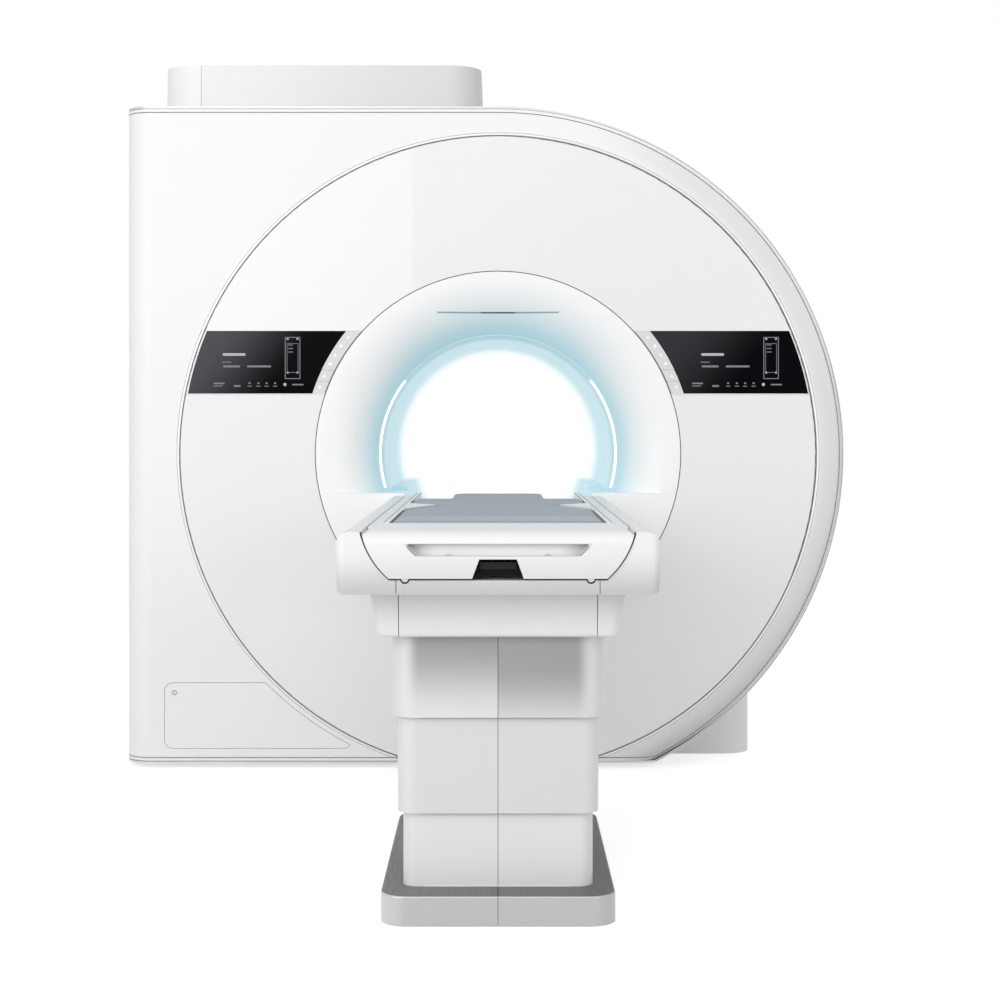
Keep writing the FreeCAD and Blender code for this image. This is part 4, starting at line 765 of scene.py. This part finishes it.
CORNER_ROUND = 0.085  # round of the front cover's left edge
CONTOUR_Y = FRONT_Y + 0.0035
CONTOUR_INSET = 0.0105
STRIP_INNER, STRIP_OUTER = 0.5915, 0.6295
KEY_JOINTS = (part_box("upper_key_left")[1].z + 0.0002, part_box("lower_key_left")[1].z + 0.0002)


def foot_angle(radius, height):
    """Angle below the horizontal at which a circle round the bore meets a height."""
    return -math.asin((BORE_Z - height) / radius)


def disc_joints(dark):
    """Fine dark joints on both sides of the disc's ring."""
    for name, radius in (("disc_joint", DISC_RADIUS + 0.0009), ("ring_joint", RING_RADIUS)):
        end = foot_angle(radius, FOOT_Z + 0.003)
        points = arc(radius, end, math.pi - end, FRONT_Y + 0.0016)
        tube(name, points, DISC_BEAD, dark, "gantry", sides=2)


def surface_of(name):
    """Finds the front of a CAD node: a function from x and z to the nearest y."""
    node = nodes[name]
    corners = [node.matrix_world @ v.co for v in node.data.vertices]
    tree = BVHTree.FromPolygons(corners, [p.vertices for p in node.data.polygons])

    def front(x, z):
        hit = tree.ray_cast(Vector((x, FRONT_Y - 1.0, z)), Vector((0.0, 1.0, 0.0)))[0]
        return hit.y if hit else None

    return front


def contour_joint(dark):
    """Joint line a little inside the rim of the front, along its top, arc and foot."""
    front = surface_of("front_body_cover")
    radius = COVER_RADIUS - CONTOUR_INSET
    foot = FOOT_Z + CONTOUR_INSET
    end = foot_angle(radius, foot)
    foot_x = radius * math.cos(end)
    corner = [
        COVER_LOW.x + CORNER_ROUND * (1 - math.cos(math.pi / 2 * i / 24)) for i in range(3, 25)
    ]
    flat = [corner[-1] * (1 - i / 60) for i in range(1, 60)]
    places = [(x, BORE_Z + radius) for x in corner + flat]
    places += [(p.x, p.z) for p in arc(radius, math.pi / 2, end, 0.0)]
    places += [(foot_x + (corner[-1] - foot_x) * i / 90, foot) for i in range(1, 90)]
    places += [(x, foot) for x in reversed(corner)]
    points = [(x, front(x, z), z) for x, z in places if front(x, z) is not None]
    tube("contour_joint", points, CONTOUR_BEAD, dark, "gantry", sides=2)


def contour_edge(grey):
    """Fine grey line on the rim of the front."""
    radius = COVER_RADIUS + DISC_BEAD
    corner_x = COVER_LOW.x + CORNER_ROUND
    points = []
    for step in range(9):
        turn = math.pi / 2 * (1 - step / 8)
        x = corner_x - CORNER_ROUND * math.sin(turn)
        y = CONTOUR_Y + CORNER_ROUND * (1 - math.cos(turn))
        points.append((x, y, BORE_Z + radius))
    points += arc(radius, math.pi / 2, foot_angle(radius, FOOT_Z), CONTOUR_Y)
    tube("contour_edge", points, DISC_BEAD, grey, "gantry", sides=2)


def key_joints(side, sign, grey, dark):
    """Fine joints round the push keys, and the dark joint beside the mouth."""
    for number, z in enumerate(KEY_JOINTS):
        drop = z - BORE_Z
        inner, outer = (
            math.sqrt(radius ** 2 - drop ** 2) for radius in (STRIP_INNER, STRIP_OUTER)
        )
        points = [(sign * (inner + (outer - inner) * i / 4), FRONT_Y, z) for i in range(5)]
        tube(f"key_joint_{side}_{number + 1}", points, KEY_BEAD, grey, "gantry", sides=1)
    low = math.asin((DISPLAY_LOW.z - BORE_Z) / STRIP_INNER)
    high = math.asin((DISPLAY_HIGH.z - BORE_Z) / STRIP_INNER)
    start, end = (low, high) if sign > 0 else (math.pi - low, math.pi - high)
    points = arc(STRIP_INNER - 0.0006, start, end, FRONT_Y + 0.0008, 24)
    tube("strip_joint_" + side, points, STRIP_BEAD, dark, "gantry", sides=2)


def mouth_line(look):
    """Fine line in the mouth that joins the tops of the two arcs."""
    points = arc(ARC_RADIUS + 0.001, ARC_TOP, math.pi - ARC_TOP, ARC_Y + 0.004)
    tube("arc_channel", points, CHANNEL_BEAD, look, "gantry")


def lock_ring(dark):
    """Dark ring round the quarter-turn lock."""
    low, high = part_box("panel_lock")
    middle = (low + high) / 2
    radius = (high.x - low.x) / 2 - 0.0006
    points = [
        (middle.x + radius * math.cos(t), FRONT_Y, middle.z + radius * math.sin(t))
        for t in (math.pi * i / 16 for i in range(32))
    ]
    tube("lock_ring", points, LOCK_BEAD, dark, "panel_lock", cyclic=True)


# ---- table


# inset of the painted shadow line under the moving column covers
LIP_SHADOW_INSET = 0.0022


def column_plan(node, inset, z):
    """Points round a column cover, by an inset inside its outer face. node is its left half."""
    low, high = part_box(node)
    half = -low.x - inset
    front, back = low.y + inset, high.y - inset
    radius = COLUMN_ROUND + (-low.x + COLUMN_LOW.x) - inset
    corners = ((1, front, -90.0), (1, back, 0.0), (-1, back, 90.0), (-1, front, 180.0))
    points = []
    for sign, y, start in corners:
        middle_y = y + (radius if y == front else -radius)
        for step in range(9):
            turn = math.radians(start + 90.0 * step / 8)
            x = sign * (half - radius) + radius * math.cos(turn)
            points.append((x, middle_y + radius * math.sin(turn), z))
    return points


def column_foot(look):
    """Pale bead where the column meets the base."""
    points = column_plan("lower_column_left", 0.0, BASE_TOP + 0.0002)
    tube("column_foot_bead", points, FOOT_BEAD, look, "gantry", cyclic=True, sides=4)


def column_lip_shadows(dark):
    """Dark bead that paints the shadow line under the lower edge of the two moving column covers.
    """
    for column, body in (("middle_column", "lift_middle"), ("upper_column", "table_head")):
        node = column + "_left"
        points = column_plan(node, LIP_SHADOW_INSET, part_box(node)[0].z + 0.0004)
        tube(column + "_lip_shadow", points, LIP_SHADOW_BEAD, dark, body, cyclic=True, sides=2)


# the handle recess: heights of its edges, and half its width there
HANDLE_TOP, HANDLE_LOW = 0.8532, 0.8272
HANDLE_HALF_TOP, HANDLE_HALF_LOW = 0.2045, 0.1775
HANDLE_REACH = 0.017
HANDLE_CORNER = 0.005
HANDLE_END = 0.020  # length over which the recess closes at each end
SCOOP_WALL = 0.0012
TAB_X, TAB_HALF, TAB_HEIGHT = 0.1079, 0.0085, 0.0042


def handle_scoop(look):
    """Smooth shell inside the handle recess, its back sloping forward to the lower edge."""
    shape = bmesh.new()
    columns, rows = 72, 14
    grid = []
    for row in range(rows + 1):
        down = row / rows
        z = HANDLE_TOP + (HANDLE_LOW - HANDLE_TOP) * down
        half = HANDLE_HALF_TOP + (HANDLE_HALF_LOW - HANDLE_HALF_TOP) * down
        reach = HANDLE_REACH * math.sqrt(max(0.0, 1.0 - down ** 2.2)) + SCOOP_WALL
        line = []
        for column in range(columns + 1):
            across = column / columns * 2 - 1
            from_end = (1 - abs(across)) * half / HANDLE_END
            fade = 1.0 if from_end >= 1 else math.sin(from_end * math.pi / 2)
            line.append(shape.verts.new((across * half, NOSE_LOW.y + 0.001 + reach * fade, z)))
        grid.append(line)
    for one, two in zip(grid, grid[1:]):
        for i in range(columns):
            shape.faces.new((one[i], one[i + 1], two[i + 1], two[i]))
    piece = shape_piece("handle_scoop", shape, look, "cradle", smooth=True)
    shell = piece.modifiers.new("thickness", "SOLIDIFY")
    shell.thickness = SCOOP_WALL
    shell.offset = 0.0


def handle_tabs(look):
    """Two small half-round tabs at the lower edge of the handle recess."""
    for side in (-1, 1):
        centre_x = side * TAB_X
        shape = bmesh.new()
        outline = [
            (centre_x + TAB_HALF * math.cos(t), HANDLE_LOW + TAB_HEIGHT * math.sin(t))
            for t in (math.pi * i / 12 for i in range(13))
        ]
        add_plate(shape, outline, NOSE_LOW.y + 0.0012, NOSE_LOW.y + 0.012)
        shape_piece("handle_tab_" + ("left" if side < 0 else "right"), shape, look, "cradle")


def handle_rim(look):
    """Fine joint line round the handle recess."""
    outline = (
        (-HANDLE_HALF_TOP, HANDLE_TOP), (HANDLE_HALF_TOP, HANDLE_TOP),
        (HANDLE_HALF_LOW, HANDLE_LOW), (-HANDLE_HALF_LOW, HANDLE_LOW),
    )
    points = []
    for i, (x, z) in enumerate(outline):
        before, after = outline[i - 1], outline[(i + 1) % 4]
        for step in range(6):
            lean = HANDLE_CORNER * (1 - step / 2.5)
            toward = before if lean > 0 else after
            gap = math.dist((x, z), toward)
            pull = abs(lean) / gap
            inward = 0.0014 * (1 - (abs(lean) / HANDLE_CORNER) ** 2)
            middle_z = (HANDLE_TOP + HANDLE_LOW) / 2
            points.append(
                (
                    x + (toward[0] - x) * pull - math.copysign(inward, x),
                    NOSE_LOW.y + 0.0006,
                    z + (toward[1] - z) * pull - math.copysign(inward, z - middle_z),
                )
            )
    tube("handle_rim", points, RIM_BEAD, look, "cradle", cyclic=True, sides=2)


# x and z of the joint on the right side, from the top to the middle
HULL_TOP = (0.298, 0.8785)
HULL_SHOULDER = (0.298, 0.8725)
HULL_KNEE = (0.281, 0.8172)
HULL_FOOT = (0.2375, 0.7760)
GUIDE_X, GUIDE_RADIUS = 0.2020, 0.0090

# the release recess: heights of its edges, and half its width there
GRIP_TOP, GRIP_HALF_TOP = 0.8195, 0.0402
GRIP_FOOT, GRIP_HALF_FOOT = 0.7785, 0.0561
GRIP_DEPTH = 0.069


def hull_joint(look):
    """Dark lip in the joint between the tray and the curved handle end."""
    for side, name in ((-1, "left"), (1, "right")):
        points = [HULL_TOP, HULL_SHOULDER]
        for step in range(1, 17):
            t = step / 16
            points.append(
                tuple(
                    (1 - t) ** 2 * a + 2 * t * (1 - t) * b + t ** 2 * c
                    for a, b, c in zip(HULL_SHOULDER, HULL_KNEE, HULL_FOOT)
                )
            )
        for step in range(13):
            turn = math.pi * step / 12
            points.append(
                (
                    GUIDE_X + GUIDE_RADIUS * math.cos(turn),
                    HULL_FOOT[1] - GUIDE_RADIUS * math.sin(turn) * 0.95,
                )
            )
        points.append((GRIP_HALF_FOOT + 0.003, HULL_FOOT[1]))
        places = [(side * x, NOSE_LOW.y + 0.0074, z) for x, z in points]
        tube("hull_joint_" + name, places, HULL_BEAD, look, "table_head", sides=2)


# places of the dark lines along each rail, partly painted shade of the rail's sides
RAIL_SHADE_LINES = (("inner", 0.2464), ("outer", 0.2592))
RAIL_TOP = 0.8889


def rail_shade_lines(look):
    """Fine dark lines along both edges of each rail: the dark gap beside it, and painted shade of
    the rail's sides.
    """
    start, end = NOSE_HIGH.y + 0.001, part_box("cradle")[1].y - 0.02
    for side, name in ((-1, "left"), (1, "right")):
        for edge, x in RAIL_SHADE_LINES:
            points = [(side * x, start + (end - start) * i / 20, RAIL_TOP) for i in range(21)]
            tube(f"rail_{edge}_edge_{name}", points, RAIL_SHADE_BEAD, look, "cradle", sides=2)


def release_liner(look):
    """Black lining of the release recess."""
    shape = bmesh.new()
    front, back = NOSE_LOW.y + 0.0015, NOSE_LOW.y + GRIP_DEPTH
    outline = (
        (-GRIP_HALF_FOOT, GRIP_FOOT), (-GRIP_HALF_TOP, GRIP_TOP),
        (GRIP_HALF_TOP, GRIP_TOP), (GRIP_HALF_FOOT, GRIP_FOOT),
    )
    rings = [[shape.verts.new((x, y, z)) for x, z in outline] for y in (front, back)]
    for i in range(3):
        shape.faces.new((rings[0][i], rings[0][i + 1], rings[1][i + 1], rings[1][i]))
    shape.faces.new(rings[1])
    piece = shape_piece("release_liner", shape, look, "cradle")
    shell = piece.modifiers.new("thickness", "SOLIDIFY")
    shell.thickness = 0.0008
    shell.offset = 0.0


# ---- mattress

PAD_VOXEL = 0.009
PAD_SINK = 0.0025  # how much smaller the pad starts
PAD_SWELL = 0.006  # furthest that the pressure may move a point
PAD_PRESSURE = 4.0
PAD_FRAMES = 20
PAD_SPARE = 0.0008  # how far a side may stand out past its solid
SEAM_DEPTH, SEAM_WIDTH = 0.0028, 0.006
SEAM_HALF = 0.236


def resting_pad():
    """The mattress solid as a slightly smaller, evenly divided mesh."""
    low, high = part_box("mattress")
    pad = bpy.data.objects.new("mattress_pad", nodes["mattress"].data.copy())
    bpy.context.scene.collection.objects.link(pad)
    pad.data.materials.clear()
    remesh = pad.modifiers.new("even", "REMESH")
    remesh.mode = "VOXEL"
    remesh.voxel_size = PAD_VOXEL
    bpy.context.view_layer.update()
    shrunk = bpy.data.meshes.new_from_object(
        pad.evaluated_get(bpy.context.evaluated_depsgraph_get())
    )
    pad.modifiers.clear()
    pad.data = shrunk
    middle_z = (low.z + high.z) / 2
    for vertex in shrunk.vertices:
        vertex.co.x *= 1 - PAD_SINK / high.x
        if vertex.co.z > middle_z:
            vertex.co.z -= PAD_SINK
    return pad, low, high


def swell(pad, low, high):
    """Blows the pad up a little, keeps it flat below and inside its own space."""
    start = [vertex.co.copy() for vertex in pad.data.vertices]
    cloth = pad.modifiers.new("cloth", "CLOTH")
    cloth.settings.use_pressure = True
    cloth.settings.uniform_pressure_force = PAD_PRESSURE
    cloth.settings.effector_weights.gravity = 0.0
    cloth.settings.quality = 4
    scene = bpy.context.scene
    for step in range(1, PAD_FRAMES + 1):
        scene.frame_set(step)
    blown = pad.evaluated_get(bpy.context.evaluated_depsgraph_get()).data
    moved = [vertex.co.copy() for vertex in blown.vertices]
    pad.modifiers.clear()
    for vertex, before, after in zip(pad.data.vertices, start, moved):
        change = after - before
        if change.length > PAD_SWELL:
            change.length = PAD_SWELL
        place = before + change
        place.x = math.copysign(max(abs(place.x), abs(before.x)), before.x)
        place.x = max(low.x - PAD_SPARE, min(high.x + PAD_SPARE, place.x))
        place.y = max(low.y + 0.0005, min(high.y, place.y))
        place.z = max(low.z + 0.0002, min(high.z - 0.0002, place.z))
        vertex.co = place
    scene.frame_set(1)


def sew(pad):
    """Sewn channels across the pad."""
    smooth = pad.modifiers.new("smooth", "SUBSURF")
    smooth.levels = smooth.render_levels = 1
    fine = bpy.data.meshes.new_from_object(
        pad.evaluated_get(bpy.context.evaluated_depsgraph_get())
    )
    pad.modifiers.clear()
    pad.data = fine
    middle_z = sum(v.co.z for v in fine.vertices) / len(fine.vertices)
    for vertex in fine.vertices:
        if vertex.co.z > middle_z:
            for row in SEAM_ROWS:
                vertex.co.z -= SEAM_DEPTH * math.exp(-(((vertex.co.y - row) / SEAM_WIDTH) ** 2))
    for face in fine.polygons:
        face.use_smooth = True


def piping(pad, look):
    """A fine pale seam bead in each channel."""
    tree = BVHTree.FromPolygons(
        [v.co for v in pad.data.vertices], [p.vertices for p in pad.data.polygons]
    )
    for number, row in enumerate(SEAM_ROWS):
        points = []
        for step in range(61):
            x = SEAM_HALF * (step / 30 - 1)
            hit = tree.ray_cast(Vector((x, row, 1.2)), Vector((0, 0, -1)))[0]
            if hit:
                points.append((x, row, hit.z + 0.0006))
        tube(f"mattress_seam_{number + 1}", points, SEAM_BEAD, look, "cradle", sides=2)


def mattress(material, seam_look):
    """The sewn pad that stands for the mattress solid, with its seams."""
    pad, low, high = resting_pad()
    swell(pad, low, high)
    sew(pad)
    pad.data.materials.append(material)
    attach(pad, "cradle")
    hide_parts("mattress")
    piping(pad, seam_look)


# ---- stage and camera


def seen_factor(tree):
    """1 for the camera's rays and for reflected and refracted rays."""
    path = tree.nodes.new("ShaderNodeLightPath")
    first = add_node(tree, "ShaderNodeMath", operation="MAXIMUM")
    second = add_node(tree, "ShaderNodeMath", operation="MAXIMUM")
    tree.links.new(path.outputs["Is Camera Ray"], first.inputs[0])
    tree.links.new(path.outputs["Is Glossy Ray"], first.inputs[1])
    tree.links.new(first.outputs["Value"], second.inputs[0])
    tree.links.new(path.outputs["Is Transmission Ray"], second.inputs[1])
    return second.outputs["Value"]


def mix_shaders(tree, factor, one, two):
    """Two nodes' light mixed by a factor socket."""
    mix = tree.nodes.new("ShaderNodeMixShader")
    tree.links.new(factor, mix.inputs["Fac"])
    tree.links.new(one.outputs[0], mix.inputs[1])
    tree.links.new(two.outputs[0], mix.inputs[2])
    return mix


WHITE = (1.0, 1.0, 1.0, 1.0)
FLOOR_COLOUR = (0.80, 0.80, 0.80, 1.0)
FLOOR_BOUNCE = (0.74, 0.74, 0.74, 1.0)
FLOOR_SEEN = 0.55
FLOOR_FADE = (3.2, 6.5)  # metres from the floor's middle between which it turns plain white
FLOOR_SIZE = 60.0
FLOOR_PLACE = (0.0, -1.0, -0.0005)


def floor_material():
    """Pale floor that keeps the shadow near the object and turns plain white further out."""
    material = bpy.data.materials.new("studio_floor")
    material.use_nodes = True
    tree = material.node_tree
    tree.nodes.clear()
    output = tree.nodes.new("ShaderNodeOutputMaterial")
    diffuse = add_node(tree, "ShaderNodeBsdfDiffuse", Color=FLOOR_COLOUR)
    seen = add_node(tree, "ShaderNodeEmission", Strength=FLOOR_SEEN)
    near = tree.nodes.new("ShaderNodeAddShader")
    tree.links.new(diffuse.outputs["BSDF"], near.inputs[0])
    tree.links.new(seen.outputs["Emission"], near.inputs[1])
    far = add_node(tree, "ShaderNodeEmission", Strength=1.0)
    coordinates = tree.nodes.new("ShaderNodeTexCoord")
    length = add_node(tree, "ShaderNodeVectorMath", operation="LENGTH")
    tree.links.new(coordinates.outputs["Object"], length.inputs[0])
    fade = add_node(
        tree, "ShaderNodeMapRange", interpolation_type="SMOOTHSTEP",
        From_Min=FLOOR_FADE[0], From_Max=FLOOR_FADE[1],
    )
    tree.links.new(length.outputs["Value"], fade.inputs["Value"])
    shown = mix_shaders(tree, fade.outputs["Result"], near, far)
    bounce = add_node(tree, "ShaderNodeBsdfDiffuse", Color=FLOOR_BOUNCE)
    both = mix_shaders(tree, seen_factor(tree), bounce, shown)
    tree.links.new(both.outputs["Shader"], output.inputs["Surface"])
    return material


def floor():
    """The studio floor, a hair under the object."""
    bpy.ops.mesh.primitive_plane_add(size=FLOOR_SIZE, location=FLOOR_PLACE)
    ground = bpy.context.object
    ground.name = "studio_floor"
    ground.data.materials.append(floor_material())


WORLD_LIGHT = 0.60


def world():
    """Soft white surroundings, plain white where they are seen."""
    scene_world = bpy.data.worlds.new("studio")
    bpy.context.scene.world = scene_world
    scene_world.use_nodes = True
    tree = scene_world.node_tree
    tree.nodes.clear()
    output = tree.nodes.new("ShaderNodeOutputWorld")
    soft = add_node(tree, "ShaderNodeBackground", Color=WHITE, Strength=WORLD_LIGHT)
    seen = add_node(tree, "ShaderNodeBackground", Color=WHITE, Strength=1.0)
    both = mix_shaders(tree, seen_factor(tree), soft, seen)
    tree.links.new(both.outputs["Shader"], output.inputs["Surface"])


def softbox(name, place, target, width, height, power):
    """A rectangular lamp that faces its target."""
    light = bpy.data.lights.new(name, "AREA")
    light.shape = "RECTANGLE"
    light.size = width
    light.size_y = height
    light.energy = power
    box = bpy.data.objects.new(name, light)
    bpy.context.scene.collection.objects.link(box)
    box.location = place
    box.rotation_euler = (Vector(target) - Vector(place)).to_track_quat("-Z", "Y").to_euler()


def lights():
    """Soft lamps; the window is what the glossy disc mirrors at its upper left."""
    middle = (0.0, -1.2, 1.0)
    softbox("key", (-4.7, -7.4, 2.6), middle, 4.4, 4.4, 142.0)
    softbox("over", (-0.6, -8.2, 5.7), middle, 7.0, 3.6, 98.0)
    softbox("fill", (3.6, -7.6, 1.7), (0.3, -0.8, 0.8), 3.0, 2.6, 52.0)
    softbox("top", (-0.8, -3.9, 5.6), (0.0, -1.2, 0.6), 4.0, 2.6, 14.0)
    softbox("window", (-1.52, -6.5, 2.45), (-1.52, 0.0, 2.45), 1.98, 2.3, 20.0)


def camera():
    """The photograph's camera, level and square to the front."""
    lens = bpy.data.cameras.new("photo_camera")
    lens.sensor_width = SENSOR_MM
    lens.lens = FOCAL_PIXELS / PICTURE_PIXELS * SENSOR_MM
    half = PICTURE_PIXELS / 2
    lens.shift_x = (half - VANISHING_PIXEL[0]) / PICTURE_PIXELS
    lens.shift_y = (VANISHING_PIXEL[1] - half) / PICTURE_PIXELS
    lens.clip_end = 100.0
    holder = bpy.data.objects.new("photo_camera", lens)
    bpy.context.scene.collection.objects.link(holder)
    holder.location = CAMERA_PLACE
    holder.rotation_euler = (math.radians(90.0), 0.0, 0.0)
    bpy.context.scene.camera = holder


# ---- build

floor()
world()
lights()
camera()

materials = material_for_slots()
dress_nodes(materials)
dark = (moulded("joint_dark", (0.16, 0.16, 0.165), 0.6, 600.0).material, "seal_dark")
screen_bright = (
    lit_material("screen_bright", (0.80, 0.82, 0.84), 0.50, SCREEN_BODY), "display_black",
)
screen_dim = (lit_material("screen_dim", (0.30, 0.31, 0.34), 0.48, SCREEN_BODY), "display_black")
joint_grey = (moulded("joint_grey", (0.36, 0.36, 0.365), 0.5).material, "key_grey")
sign_white = (moulded("sign_white", (0.95, 0.95, 0.95), 0.5).material, "key_grey")

for side, sign, shift in (("left", -1, 0.0), ("right", 1, SCREEN_SHIFT)):
    screen_graphics(side, shift, screen_bright, screen_dim)
    strip_signs(side, sign, sign_white)
    display_sill(side, sign, (materials["disc_gloss"], "disc_gloss"))
    key_joints(side, sign, joint_grey, dark)
disc_joints(dark)
contour_joint(dark)
contour_edge(joint_grey)
mouth_line((lit_material("arc_channel", (0.80, 0.93, 0.96), 0.45), "light_arc"))
lock_ring(dark)
column_foot((materials["column_white"], "column_white"))
# painted shadow lines under the moving column covers
column_lip_shadows(dark)
handle_scoop((scoop_shade_paint(), "table_white"))
handle_rim((moulded("rim_grey", (0.36, 0.36, 0.365), 0.5).material, "table_white"))
hull_joint((moulded("joint_black", (0.008, 0.008, 0.009), 0.6).material, "seal_dark"))
# dark lines on the rails: the gap beside each rail and painted shade of its sides
rail_shade_lines((moulded("rail_shade_grey", (0.20, 0.195, 0.19), 0.6).material, "seal_dark"))
handle_tabs((moulded("tab_grey", (0.50, 0.505, 0.51), 0.5).material, "key_grey"))
release_liner((materials["release_black"], "release_black"))
mattress(
    materials["mattress_blue"],
    (moulded("seam_pale", (0.48, 0.52, 0.55), 0.6).material, "mattress_blue"),
)
bpy.context.scene.view_settings.view_transform = "Standard"
